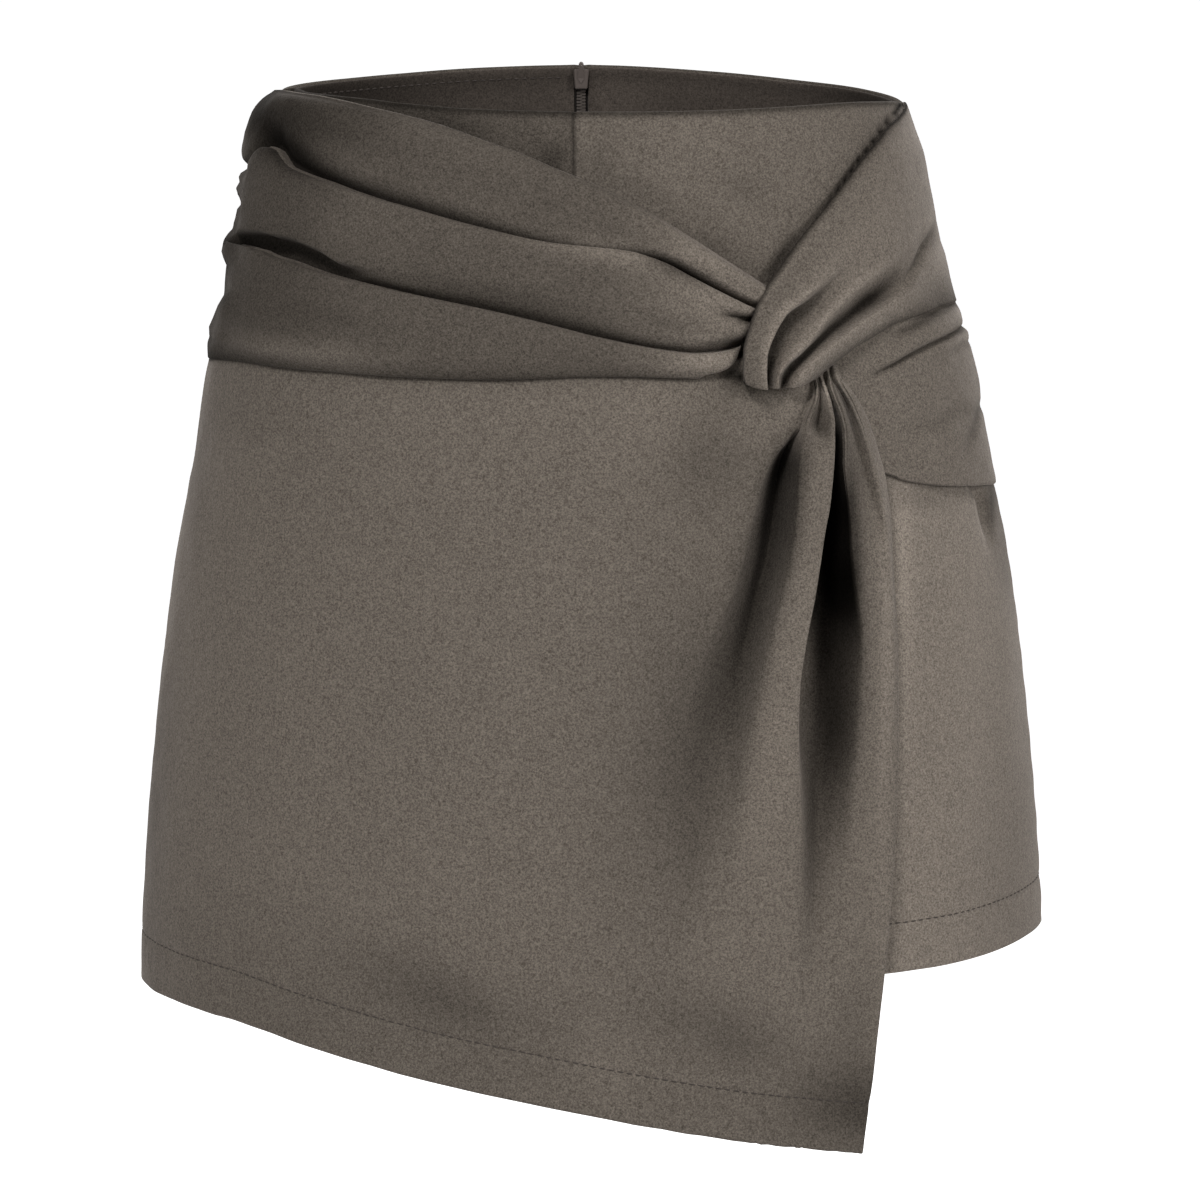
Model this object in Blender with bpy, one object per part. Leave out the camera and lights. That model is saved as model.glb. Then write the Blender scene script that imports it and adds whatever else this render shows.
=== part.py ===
"""Mini skort with a twisted wrap front, as worn: shorts with a pleated band, a slanted overlay panel and a knotted sash.

Frame: metres, +Z up, the front faces -Y, +X is the viewer's right. The origin is the middle of the waist opening.
The front is drawn on a hip form: an angle across the front (degrees, -90 left side seam, 0 centre, +90 right side
seam), a height z (millimetres) and a stand-off h from the form (millimetres, to the outer face of the cloth).
"""

import math

import bmesh
import bpy
import numpy as np
from mathutils import Matrix, Vector

# ---------------------------------------------------------------- sizes, millimetres
WALL = 1.4  # cloth, a suede-faced twill with its turnings
FACING_WALL = 0.9
SEAM_GAP = 0.3  # between pieces that are sewn together
LAYER_GAP = 0.4  # between cloth layers that lie on each other
LEFT_INSET = 1.9  # the shorts' left front lies this far under the overlay at the side seam
UNDER_OVERLAY = 5.0  # and both fronts this far inside the form where the overlay hangs over them
CROTCH_Z = -265.0
CROTCH_START_Z = -170.0
LEG_HEM_Z = -352.0
HEM_DIP = 2.0  # the leg hem hangs this much lower at the middle of the leg
LEG_GAP_AT_HEM = 8.0
LEG_DEPTH_FRONT = 98.0
LEG_DEPTH_BACK = 113.0
LEG_POWER = 1.3
CF_SEAM_X = -6.8  # the seams sit a little to the left at the waist
CB_SEAM_X = -4.2
FACING_DEPTH = 30.0
ZIP_LENGTH = 185.0
TAPE_WIDTH = 9.0
TAPE_WALL = 0.6
COIL_WIDTH = 1.7
COIL_WALL = 0.8
SLIDER_WIDTH, SLIDER_HEIGHT, SLIDER_DEPTH = 6.6, 8.4, 2.4
BRIDGE_WIDTH = 2.2
EYE_OUTER, EYE_INNER = 1.75, 0.95
PIN_RADIUS = 0.55
PULL_LENGTH, PULL_WIDTH, PULL_WALL = 24.0, 5.6, 0.9
PULL_LEAN = 8.0  # degrees, so that the tab hangs clear of the cloth below it

# Hip form, one row for each level. z: height; half_w: half width; front, back: depths; power: 1 is an ellipse.
FORM = (
    # z,      half_w, front,  back, power
    (20.0, 127.0, 90.5, 90.5, 1.00),
    (0.0, 128.2, 92.0, 92.0, 1.00),
    (-10.0, 131.0, 93.5, 93.5, 1.00),
    (-25.0, 136.3, 95.5, 96.0, 1.00),
    (-50.0, 141.5, 99.0, 101.0, 1.00),
    (-75.0, 147.0, 103.0, 107.0, 1.01),
    (-100.0, 153.6, 107.0, 113.0, 1.02),
    (-125.0, 159.5, 110.0, 118.0, 1.03),
    (-150.0, 164.6, 113.0, 120.0, 1.04),
    (-175.0, 169.6, 115.5, 121.0, 1.05),
    (-200.0, 173.9, 118.0, 121.5, 1.05),
    (-225.0, 177.3, 120.0, 121.0, 1.05),
    (-250.0, 180.4, 122.0, 120.0, 1.05),
    (-275.0, 183.1, 124.3, 118.5, 1.05),
    (-300.0, 185.3, 126.5, 117.0, 1.05),
    (-325.0, 187.1, 128.5, 115.5, 1.05),
    (-350.0, 188.5, 130.0, 114.0, 1.05),
    (-380.0, 189.5, 132.0, 113.5, 1.05),
    (-440.0, 191.0, 136.0, 113.0, 1.05),
)

# Height of the waist edge round the front and the back.
WAIST_FRONT = ((-90.0, -0.5), (-50.0, 1.4), (-20.0, -0.4), (20.0, -0.9), (50.0, -0.3), (75.0, -2.0), (90.0, -4.0))
WAIST_BACK = ((-90.0, -0.5), (-55.0, -0.7), (-40.0, -0.2), (-20.0, 1.1), (0.0, 1.7), (25.0, 0.4), (45.0, -1.5), (90.0, -4.0))

# Pleated band: one row for each station across the front, from the left side seam to its end under the knot.
# top, fold1, fold2, bottom: heights of its edges and folds. The h columns are the stand-off at those lines and at
# the crown of each roll between them.
BAND = (
    # deg,    top, fold1, fold2, bottom, h_top, h_roll1, h_fold1, h_roll2, h_fold2, h_roll3, h_bottom
    (-89.9, -1.0, -30.0, -60.0, -110.0, 2.6, 6.4, 2.8, 6.4, 3.0, 4.2, 3.0),
    (-75.0, 1.0, -23.0, -59.5, -108.0, 3.0, 7.5, 2.4, 7.8, 2.8, 5.5, 3.2),
    (-60.0, 2.0, -23.0, -61.0, -106.6, 3.6, 7.8, 2.2, 8.6, 2.8, 6.6, 3.6),
    (-45.0, 0.5, -31.0, -66.0, -106.4, 3.0, 7.4, 2.4, 8.2, 3.2, 7.4, 4.0),
    (-30.0, -4.7, -38.5, -72.5, -106.3, 2.8, 7.0, 3.0, 8.0, 4.0, 7.8, 4.2),
    (-15.0, -14.0, -47.0, -79.0, -106.0, 2.8, 6.6, 3.6, 8.0, 4.4, 8.0, 4.6),
    (0.0, -27.3, -53.0, -88.0, -104.8, 3.0, 6.6, 4.2, 8.2, 4.8, 7.6, 5.2),
    (10.0, -40.0, -56.0, -94.0, -104.8, 3.2, 7.2, 4.4, 8.6, 5.0, 7.6, 5.6),
    (18.0, -53.0, -66.5, -95.5, -105.6, 3.6, 7.8, 4.4, 9.2, 5.0, 8.2, 6.0),
    (23.0, -61.5, -74.0, -92.5, -105.0, 4.2, 8.2, 4.6, 9.4, 5.0, 8.4, 6.0),
    (28.0, -69.0, -80.0, -91.0, -103.0, 4.6, 6.6, 4.8, 7.6, 5.2, 7.4, 5.8),
    (32.0, -74.0, -83.0, -90.0, -101.0, 4.6, 5.6, 4.8, 6.2, 5.2, 6.2, 5.8),
)

# Overlay panel: one row for each level. The deg columns are the lines that its folds run along: start of the folds,
# hollow 1, ridge, the ridge's sharp edge, hollow 2, last ridge and the free edge.
OVERLAY_LINES = (
    # z,    start, hollow1, ridge, sharp, hollow2, last, edge
    (-96.0, 18.0, 24.5, 28.5, 31.5, 33.0, 35.0, 37.2),
    (-110.0, 20.0, 27.5, 31.5, 34.0, 35.2, 37.2, 38.8),
    (-120.0, 20.5, 28.0, 32.4, 35.2, 36.0, 38.6, 40.8),
    (-132.0, 20.5, 28.0, 32.6, 35.2, 36.2, 39.4, 42.0),
    (-145.0, 19.5, 26.6, 32.0, 34.6, 35.8, 39.8, 43.0),
    (-160.0, 17.5, 25.2, 30.8, 33.4, 35.4, 40.0, 43.3),
    (-180.0, 14.5, 23.2, 29.0, 31.4, 34.4, 39.8, 43.0),
    (-200.0, 11.5, 20.2, 27.0, 29.6, 33.4, 39.4, 42.6),
    (-225.0, 8.0, 17.2, 24.4, 27.4, 31.2, 38.4, 42.0),
    (-250.0, 6.0, 15.2, 22.4, 26.0, 29.8, 37.0, 41.2),
    (-285.0, 4.0, 13.4, 21.0, 25.0, 28.6, 35.4, 40.1),
    (-330.0, 2.0, 12.0, 20.0, 24.2, 27.6, 33.6, 38.1),
    (-380.0, 0.0, 11.0, 18.8, 23.0, 26.4, 31.6, 35.8),
    (-440.0, -1.0, 10.0, 17.4, 21.6, 24.8, 29.4, 33.2),
)
OVERLAY_HEIGHTS = (
    # z,    start, hollow1, ridge, sharp, hollow2, last, edge
    (-96.0, 2.3, 2.2, 2.2, 2.3, 2.3, 2.6, 4.4),
    (-108.0, 2.3, 2.2, 2.6, 3.0, 2.8, 4.4, 4.8),
    (-120.0, 3.4, 3.4, 8.4, 8.8, 4.6, 8.4, 5.0),
    (-132.0, 4.2, 2.6, 11.4, 11.6, 3.6, 9.8, 5.0),
    (-145.0, 4.6, 2.0, 12.2, 12.4, 2.6, 10.6, 5.2),
    (-160.0, 4.6, 1.6, 12.2, 12.4, 1.8, 11.0, 5.4),
    (-180.0, 4.4, 1.4, 11.6, 12.0, 1.2, 11.0, 6.0),
    (-200.0, 4.2, 1.6, 10.8, 11.2, 1.0, 10.6, 6.6),
    (-225.0, 3.8, 2.0, 9.4, 10.0, 1.2, 10.0, 7.0),
    (-250.0, 3.4, 2.2, 8.0, 8.4, 1.6, 9.2, 7.0),
    (-285.0, 2.8, 2.4, 6.2, 6.4, 2.2, 7.8, 6.8),
    (-330.0, 2.2, 2.4, 4.6, 4.6, 2.8, 6.2, 6.0),
    (-380.0, 1.8, 2.4, 3.6, 3.6, 3.2, 5.0, 5.2),
    (-440.0, 1.8, 2.4, 3.2, 3.2, 3.4, 4.6, 5.0),
)
OVERLAY_TOP = ((-90.0, -99.0), (-45.0, -97.0), (0.0, -96.0), (20.0, -97.0), (32.0, -99.5), (37.5, -103.0))
OVERLAY_HEM = ((-90.0, -377.5), (-55.0, -378.0), (-36.0, -385.0), (-16.0, -396.5), (4.0, -409.0), (16.0, -417.0), (26.0, -423.0), (36.0, -428.5))
# Stand-off of the plain part of the overlay, from the side seam to where the folds start.
OVERLAY_PLAIN = ((0.0, 0.0), (0.1, 0.5), (0.3, 1.4), (0.6, 2.3), (1.0, 2.4))  # share of the way, h

# Upper sash: one row for each station from the right side seam to the rim of the knot. left: its rolled edge;
# right: where it lies on the lower sash. The h columns run across it from the rolled edge to the right edge.
SASH_UPPER = (
    # l_deg,  l_z,    r_deg,  r_z,   h_edge, h_roll, h_mid, h_crease1, h_ridge, h_crease2, h_valley, h_ridge3, h_right
    (89.9, -5.0, 89.9, -86.0, 2.0, 2.2, 2.2, 2.2, 2.2, 2.2, 2.2, 3.8, 4.8),
    (80.0, -6.5, 84.0, -86.0, 2.1, 3.4, 3.2, 3.2, 3.4, 3.4, 3.0, 4.6, 5.2),
    (68.0, -9.0, 76.0, -85.5, 2.2, 4.4, 4.2, 4.2, 4.4, 4.2, 3.6, 5.4, 5.2),
    (57.5, -14.0, 68.0, -85.5, 2.2, 5.4, 5.4, 5.2, 5.6, 5.2, 4.2, 6.4, 4.8),
    (48.5, -23.0, 60.5, -87.0, 2.3, 6.6, 6.6, 6.2, 7.0, 6.2, 4.8, 7.6, 5.0),
    (41.5, -34.0, 53.5, -89.0, 2.4, 8.0, 8.0, 7.4, 8.8, 7.4, 5.6, 9.0, 5.2),
    (36.0, -44.5, 48.5, -91.0, 2.8, 9.8, 9.8, 8.8, 10.6, 8.8, 7.2, 10.2, 5.4),
    (31.0, -56.0, 44.0, -94.5, 4.4, 11.8, 12.0, 10.4, 12.6, 10.6, 9.0, 11.6, 5.8),
    (26.8, -68.0, 40.5, -97.5, 8.2, 13.6, 14.2, 12.0, 14.4, 12.4, 11.0, 13.2, 6.4),
    (23.8, -80.0, 38.0, -99.8, 11.2, 15.2, 16.0, 13.4, 15.8, 13.8, 13.0, 14.2, 8.0),
    (21.8, -91.0, 36.0, -102.0, 11.8, 16.0, 17.0, 14.2, 16.4, 14.6, 14.4, 14.4, 9.4),
    (20.9, -101.0, 34.2, -104.4, 10.8, 15.4, 16.4, 14.0, 15.8, 14.4, 14.4, 13.6, 9.8),
    (21.4, -107.2, 32.4, -107.0, 9.2, 12.6, 13.4, 12.4, 13.2, 12.6, 12.6, 11.6, 9.2),
    (23.0, -109.0, 30.8, -109.2, 7.6, 8.6, 8.6, 8.4, 8.6, 8.4, 8.4, 8.2, 7.6),
)
SASH_UPPER_V = (0.0, 0.07, 0.24, 0.39, 0.50, 0.61, 0.73, 0.86, 1.0)

# Lower sash: one row for each station from the right side seam to its end behind the overlay.
SASH_LOWER = (
    # t_deg,  t_z,   b_deg,   b_z,  h_top, h_fold, h_mid, h_low, h_bottom
    (89.9, -82.0, 89.9, -164.0, 2.1, 3.4, 3.0, 3.2, 2.4),
    (78.0, -81.5, 78.0, -162.5, 2.4, 3.4, 3.0, 3.6, 2.6),
    (68.0, -81.5, 68.0, -160.0, 2.2, 3.4, 3.0, 4.0, 2.8),
    (60.0, -83.0, 60.0, -158.0, 2.2, 3.2, 3.0, 3.8, 2.8),
    (53.0, -85.0, 53.5, -155.0, 2.2, 3.0, 3.0, 3.4, 2.6),
    (47.0, -88.5, 47.5, -151.5, 2.2, 2.8, 2.8, 3.0, 2.4),
    (42.5, -92.5, 43.0, -148.0, 2.2, 2.4, 2.4, 2.4, 2.2),
    (39.5, -95.5, 40.5, -138.0, 2.2, 2.2, 2.2, 2.2, 2.2),
)
SASH_LOWER_V = (0.0, 0.22, 0.5, 0.78, 1.0)

CLOTH_COLOUR = (0.132, 0.112, 0.098, 1.0)
ZIP_COLOUR = (0.070, 0.061, 0.055, 1.0)
METAL_COLOUR = (0.105, 0.092, 0.082, 1.0)


# ---------------------------------------------------------------- tables and the form
def smoothstep(x, low, high):
    t = np.clip((np.asarray(x, float) - low) / (high - low), 0.0, 1.0)
    return t * t * (3.0 - 2.0 * t)


def hermite(x, xs, ys):
    """A smooth curve through the points (xs, ys), which doesn't overshoot. xs may run either way."""
    xs, ys, x = np.asarray(xs, float), np.asarray(ys, float), np.asarray(x, float)
    if xs[0] > xs[-1]:
        xs, ys = xs[::-1], ys[::-1]
    step, rise = np.diff(xs), np.diff(ys)
    slope = rise / step
    tangent = np.zeros(len(xs))
    tangent[0], tangent[-1] = slope[0], slope[-1]
    for k in range(1, len(xs) - 1):
        if slope[k - 1] * slope[k] > 0:
            w1, w2 = 2 * step[k] + step[k - 1], step[k] + 2 * step[k - 1]
            tangent[k] = (w1 + w2) / (w1 / slope[k - 1] + w2 / slope[k])
    at = np.clip(np.searchsorted(xs, x, side="right") - 1, 0, len(step) - 1)
    t = np.clip((x - xs[at]) / step[at], 0.0, 1.0)
    h = step[at]
    return (
        ys[at] * (1 + 2 * t) * (1 - t) ** 2
        + tangent[at] * h * t * (1 - t) ** 2
        + ys[at + 1] * t * t * (3 - 2 * t)
        + tangent[at + 1] * h * t * t * (t - 1)
    )


def column(table, k, x, key=0):
    return hermite(x, [row[key] for row in table], [row[k] for row in table])


def on_form(deg, z, h, side=-1):
    """The point at this angle and height, h out from the form. side -1 is the front and 1 the back."""
    deg, z, h = np.broadcast_arrays(np.asarray(deg, float), np.asarray(z, float), np.asarray(h, float))
    half_w, depth, power = column(FORM, 1, z), column(FORM, 2 if side < 0 else 3, z), column(FORM, 4, z)
    turn = np.radians(deg)
    across, deep = np.sin(turn), np.maximum(np.cos(turn), 0.0)
    x, y = half_w * across, side * depth * deep**power
    nx, ny = depth * power * np.maximum(deep, 0.02) ** (power - 1) * across, side * half_w * deep
    size = np.hypot(nx, ny)
    return np.stack([x + h * nx / size, y + h * ny / size, z], -1)


# ---------------------------------------------------------------- shells
def grid_normals(points):
    """Outward normals of a grid of points: away from the middle line of the garment, downwards under the crotch."""
    along = np.gradient(points, axis=0)
    across = np.gradient(points, axis=1)
    n = np.cross(along, across)
    return n / np.maximum(np.linalg.norm(n, axis=-1, keepdims=True), 1e-9)


def unit(v):
    return v / np.maximum(np.linalg.norm(v, axis=-1, keepdims=True), 1e-9)


def shell_mesh(name, outer, inner):
    """A closed wall between two grids of points, in millimetres."""
    rows, cols = outer.shape[:2]
    bm = bmesh.new()
    a = [[bm.verts.new(outer[i, j] * 0.001) for j in range(cols)] for i in range(rows)]
    b = [[bm.verts.new(inner[i, j] * 0.001) for j in range(cols)] for i in range(rows)]
    for i in range(rows - 1):
        for j in range(cols - 1):
            bm.faces.new((a[i][j], a[i][j + 1], a[i + 1][j + 1], a[i + 1][j]))
            bm.faces.new((b[i + 1][j], b[i + 1][j + 1], b[i][j + 1], b[i][j]))
    for i in range(rows - 1):
        bm.faces.new((a[i + 1][0], b[i + 1][0], b[i][0], a[i][0]))
        bm.faces.new((a[i][-1], b[i][-1], b[i + 1][-1], a[i + 1][-1]))
    for j in range(cols - 1):
        bm.faces.new((a[0][j], b[0][j], b[0][j + 1], a[0][j + 1]))
        bm.faces.new((a[-1][j + 1], b[-1][j + 1], b[-1][j], a[-1][j]))
    if bm.calc_volume(signed=True) < 0:
        bmesh.ops.reverse_faces(bm, faces=bm.faces)
    mesh = bpy.data.meshes.new(name)
    bm.to_mesh(mesh)
    bm.free()
    return mesh


def add(name, mesh, material, smooth=True, angle=50.0):
    obj = bpy.data.objects.new(name, mesh)
    parts.objects.link(obj)
    mesh.materials.append(material)
    if smooth:
        mesh.shade_smooth()
        mesh.set_sharp_from_angle(angle=math.radians(angle))
    return obj


def principled(name, colour, roughness, metallic):
    material = bpy.data.materials.new(name)
    material.use_nodes = True
    shader = material.node_tree.nodes["Principled BSDF"]
    shader.inputs["Base Color"].default_value = colour
    shader.inputs["Roughness"].default_value = roughness
    shader.inputs["Metallic"].default_value = metallic
    material.diffuse_color = colour
    return material


def flip_to(normals, direction):
    """Turns the normals of a whole grid to the side that the direction field points to."""
    return normals if (normals * direction).sum() > 0 else -normals


def wall(points, normals, thick):
    return points - normals * thick


# ---------------------------------------------------------------- shorts
SHORTS_ROWS = (0.0, 0.085, 0.19, 0.30, 0.42, 0.53, 0.62, 0.69, 0.733, 0.754, 0.80, 0.895, 1.0)
SHORTS_COLS = (0.0, 0.06, 0.14, 0.24, 0.35, 0.46, 0.57, 0.68, 0.79, 0.90, 0.96, 1.0)


def seam_x(side, z):
    """Where the centre-front or centre-back seam lies."""
    if side < 0:
        return CF_SEAM_X * (1 - smoothstep(-z, 60, 200))
    return CB_SEAM_X * (1 - smoothstep(-z, 120, 230))


def waist_z(side, deg):
    return column(WAIST_FRONT if side < 0 else WAIST_BACK, 1, deg)


def shorts_grid(hand, side, inset, drop=0.0):
    """hand: -1 left, 1 right. side: -1 front, 1 back. One grid from the waist to the hem, and from the centre seam to
    the side seam: quarters of the hip form above the crotch, half of a leg below it, and a curved crotch between.
    inset: how far inside the form its outer face lies at the side seam. drop: how far it ends under the waist edge."""
    points = np.zeros((len(SHORTS_ROWS), len(SHORTS_COLS), 3))
    for j, s in enumerate(SHORTS_COLS):
        top = float(waist_z(side, hand * 90.0 * s)) - drop
        for i, r in enumerate(SHORTS_ROWS):
            hem = LEG_HEM_Z - HEM_DIP * math.sin(math.pi * s)
            z = top + r * (hem - top)
            if SHORTS_ROWS[i] == 0.754:
                z += (CROTCH_Z - z) * (1 - s) ** 2
            in_h = inset * float(smoothstep(s, 0.0, 0.3)) if z > CROTCH_Z else inset
            if side < 0:
                covered = 1 - smoothstep(s, 0.6, 1.0) if hand < 0 else 1 - smoothstep(s, 0.3, 0.42)
                in_h += UNDER_OVERLAY * float(covered * smoothstep(-z, 96, 128))
            half_w = float(column(FORM, 1, z)) - inset * float(smoothstep(s, 0.0, 0.3))
            depth = float(column(FORM, 2 if side < 0 else 3, z)) - in_h
            power = float(column(FORM, 4, z))
            start = float(seam_x(side, z)) + hand * SEAM_GAP / 2
            x_hip = start + (hand * half_w - start) * math.sin(math.pi / 2 * s)
            y_hip = side * depth * max(1 - (x_hip / half_w) ** 2, 0.0) ** (power / 2)
            below = max(0.0, CROTCH_Z - z) / (CROTCH_Z - LEG_HEM_Z)
            inner = SEAM_GAP / 2 + LEG_GAP_AT_HEM / 2 * min(below, 1.0) ** 0.7
            middle, width = (inner + half_w) / 2, (half_w - inner) / 2
            leg_depth = (LEG_DEPTH_FRONT if side < 0 else LEG_DEPTH_BACK) - 2 * inset
            x_leg = hand * (middle - width * math.cos(math.pi * s))
            y_leg = side * leg_depth * math.sin(math.pi * s) ** LEG_POWER if 0 < s < 1 else 0.0
            tau = min(max((CROTCH_START_Z - z) / (CROTCH_START_Z - CROTCH_Z), 0.0), 1.0)
            at_seam = 1 - math.sqrt(1 - tau * tau)
            at_side = float(smoothstep(-z, 100, 330))
            mix = float(smoothstep(s, 0.0, 0.4))
            k = at_seam * (1 - mix) + at_side * mix
            x, y = x_hip * (1 - k) + x_leg * k, y_hip * (1 - k) + y_leg * k
            points[i, j] = (x, side * max(side * y, SEAM_GAP / 2), z)
    return points


def shorts_normals(points, hand, side):
    n = grid_normals(points)
    out = np.zeros_like(points)
    out[..., 0], out[..., 1] = hand * 0.3, side
    out = out * np.linspace(0.2, 1, points.shape[1])[None, :, None] ** 0.2
    n = flip_to(n, out)
    low = SHORTS_ROWS.index(0.754)
    n[:low, 0, 0] = 0.0
    n[low, 0] = (0.0, 0.0, -1.0)
    n[low + 1 :, 0] = (-hand, 0.0, 0.0)
    n[:, -1, 1] = 0.0
    n[0, :, 2] = 0.0
    n[-1, :, 2] = 0.0
    return unit(n)


def make_shorts(name, hand, side, inset, material):
    outer = shorts_grid(hand, side, inset)
    inner = wall(outer, shorts_normals(outer, hand, side), WALL)
    return add(name, shell_mesh(name, outer, inner), material), outer, inner


# ---------------------------------------------------------------- front pieces
def front_normals(points):
    n = grid_normals(points)
    out = points.copy()
    out[..., 2] = 0.0
    return flip_to(n, out)


def make_front(name, points, material, seam_cols=(), thick=WALL):
    n = front_normals(points)
    for j in seam_cols:
        n[:, j, 1] = 0.0
    inner = wall(points, unit(n), thick)
    for j in seam_cols:
        inner[:, j, 1] = points[:, j, 1]
    return add(name, shell_mesh(name, points, inner), material)


def seam_clear(points, j):
    points[:, j, 1] = -SEAM_GAP / 2
    return points


def band_points():
    """Rows run across the band from its top edge to its bottom, with two points between each pair of lines."""
    stations = np.concatenate([np.linspace(-89.9, -45, 8), np.linspace(-37, 10, 7), [15, 19, 23, 27, 31.5]])
    lines = [column(BAND, k, stations) for k in (1, 2, 3, 4)]
    heights = [column(BAND, k, stations) for k in range(5, 12)]
    rows = []
    for r in range(3):
        top, bottom = lines[r], lines[r + 1]
        h_top, h_crown, h_bottom = heights[2 * r], heights[2 * r + 1], heights[2 * r + 2]
        for share, edge in ((0.0, 0.0), (0.18, 0.72), (0.5, 1.0), (0.82, 0.72)):
            base = h_top + (h_bottom - h_top) * share
            rows.append((top + (bottom - top) * share, base + (h_crown - base) * edge))
    rows.append((lines[3], heights[6]))
    grid = np.stack([on_form(stations, z, h) for z, h in rows])
    return seam_clear(grid, 0)


def overlay_points():
    """Columns follow the fold lines, and rows run from under the band to the hem."""
    plain = [0.0, 0.08, 0.2, 0.34, 0.48, 0.62, 0.76, 0.88]
    columns = [("plain", s) for s in plain] + [("fold", k) for k in np.linspace(0, 6, 13)]
    rows = (0.0, 0.03, 0.065, 0.105, 0.15, 0.20, 0.26, 0.33, 0.41, 0.50, 0.60, 0.71, 0.84, 1.0)

    def place(kind, at, z):
        start = float(column(OVERLAY_LINES, 1, z))
        if kind == "plain":
            deg = -89.9 + (start + 89.9) * at
            start_h = float(column(OVERLAY_HEIGHTS, 1, z))
            plain_h = float(column(OVERLAY_PLAIN, 1, at))
            return deg, plain_h * (1 - float(smoothstep(at, 0.6, 1.0))) + start_h * float(smoothstep(at, 0.5, 1.0))
        low, share = min(int(at), 5), at - min(int(at), 5)
        degs = [float(column(OVERLAY_LINES, low + 1 + k, z)) for k in (0, 1)]
        hs = [float(column(OVERLAY_HEIGHTS, low + 1 + k, z)) for k in (0, 1)]
        ease = share * share * (3 - 2 * share)
        return degs[0] + (degs[1] - degs[0]) * share, hs[0] + (hs[1] - hs[0]) * ease

    grid = np.zeros((len(rows), len(columns), 3))
    for j, (kind, at) in enumerate(columns):
        top = float(column(OVERLAY_TOP, 1, place(kind, at, -100.0)[0]))
        hem = float(column(OVERLAY_HEM, 1, place(kind, at, -410.0)[0]))
        for i, r in enumerate(rows):
            z = top + r * (hem - top)
            deg, h = place(kind, at, z)
            grid[i, j] = on_form(deg, z, h)
    return seam_clear(grid, 0)


def strip_points(table, shares, first_h, stations, lines):
    """A strip between two edges. stations: positions along the table's rows; shares: positions across it."""
    index = np.arange(len(table))
    values = np.array(table, float)
    along = np.stack([hermite(stations, index, values[:, k]) for k in range(values.shape[1])], 1)
    grid = np.zeros((len(stations), len(shares), 3))
    for i, row in enumerate(along):
        h = hermite(shares, lines, row[first_h:])
        deg = row[0] + (row[2] - row[0]) * shares
        z = row[1] + (row[3] - row[1]) * shares
        grid[i] = on_form(deg, z, h)
    return seam_clear(grid.transpose(1, 0, 2), 0).transpose(1, 0, 2)


def sash_upper_points():
    stations = np.concatenate([np.arange(0, 7, 1.0), np.arange(7, 13, 0.5), [12.6, 13.0]])
    shares = np.array([0.0, 0.035, 0.07, 0.155, 0.24, 0.32, 0.39, 0.445, 0.50, 0.555, 0.61, 0.73, 0.86, 1.0])
    return strip_points(SASH_UPPER, shares, 4, stations, np.array(SASH_UPPER_V))


def sash_lower_points():
    stations = np.linspace(0, len(SASH_LOWER) - 1, 9)
    shares = np.array([0.0, 0.11, 0.22, 0.36, 0.5, 0.64, 0.78, 0.9, 1.0])
    return strip_points(SASH_LOWER, shares, 4, stations, np.array(SASH_LOWER_V))


# ---------------------------------------------------------------- facing and zip
def make_facing(name, inner, hand, material):
    """The back facing: the panel's own inner points, moved in, from the zip to the side seam."""
    rows, step = inner[:2].copy(), SEAM_GAP + TAPE_WALL + LAYER_GAP
    n = unit(rows * np.array([1.0, 1.0, 0.0]))
    outer = rows - n * step
    inside = outer - n * FACING_WALL
    for grid in (outer, inside):
        grid[:, 0, 0] = CB_SEAM_X + hand * 3.4
        grid[:, -1, 1] = 1.2
        grid[0, :, 2] -= 0.6
        grid[1, :, 2] = -FACING_DEPTH
    return add(name, shell_mesh(name, outer, inside), material)


def back_y(z):
    return float(column(FORM, 3, z))


def zip_strip(name, inner, hand, near, far, gap, thick, top, bottom, material):
    """A strip along the centre-back opening, made from the panel's own inner points, moved in. near and far are its
    two distances from the seam."""
    levels = [z for z in inner[:, 0, 2] if bottom < z < top]
    levels = [top, *levels, bottom]
    heights = inner[::-1, 0, 2]
    seam = np.stack([np.interp(levels, heights, inner[::-1, 0, k]) for k in (0, 1)], 1)
    beside = np.stack([np.interp(levels, heights, inner[::-1, 1, k]) for k in (0, 1)], 1)
    outer = np.zeros((len(levels), 2, 3))
    for i, z in enumerate(levels):
        slope = (beside[i, 1] - seam[i, 1]) / (beside[i, 0] - seam[i, 0])
        for j, off in enumerate((near, far)):
            outer[i, j] = (seam[i, 0] + hand * (off - SEAM_GAP / 2), seam[i, 1] + slope * hand * off - gap, z)
    inside = outer - np.array([0.0, thick, 0.0])
    return add(name, shell_mesh(name, outer, inside), material, smooth=False)


def join_solids(target, *others):
    """Boolean unions of solids that cross each other, kept as modifiers with their cutters out of the render."""
    for other in others:
        modifier = target.modifiers.new("join_" + other.name, "BOOLEAN")
        modifier.operation, modifier.solver, modifier.object = "UNION", "EXACT", other
        cutters.objects.link(other)
        parts.objects.unlink(other)
        other.hide_render, other.display_type = True, "WIRE"


def block(name, low, high, material, bevel=0.0):
    mesh = bpy.data.meshes.new(name)
    bm = bmesh.new()
    bmesh.ops.create_cube(bm, size=1.0)
    low, high = Vector(low) * 0.001, Vector(high) * 0.001
    bm.transform(Matrix.Translation((low + high) / 2) @ Matrix.Diagonal((*(high - low), 1.0)))
    if bevel:
        bmesh.ops.bevel(bm, geom=list(bm.edges), offset=bevel * 0.001, segments=1, affect="EDGES")
    bm.to_mesh(mesh)
    bm.free()
    return add(name, mesh, material, smooth=False)


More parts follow.
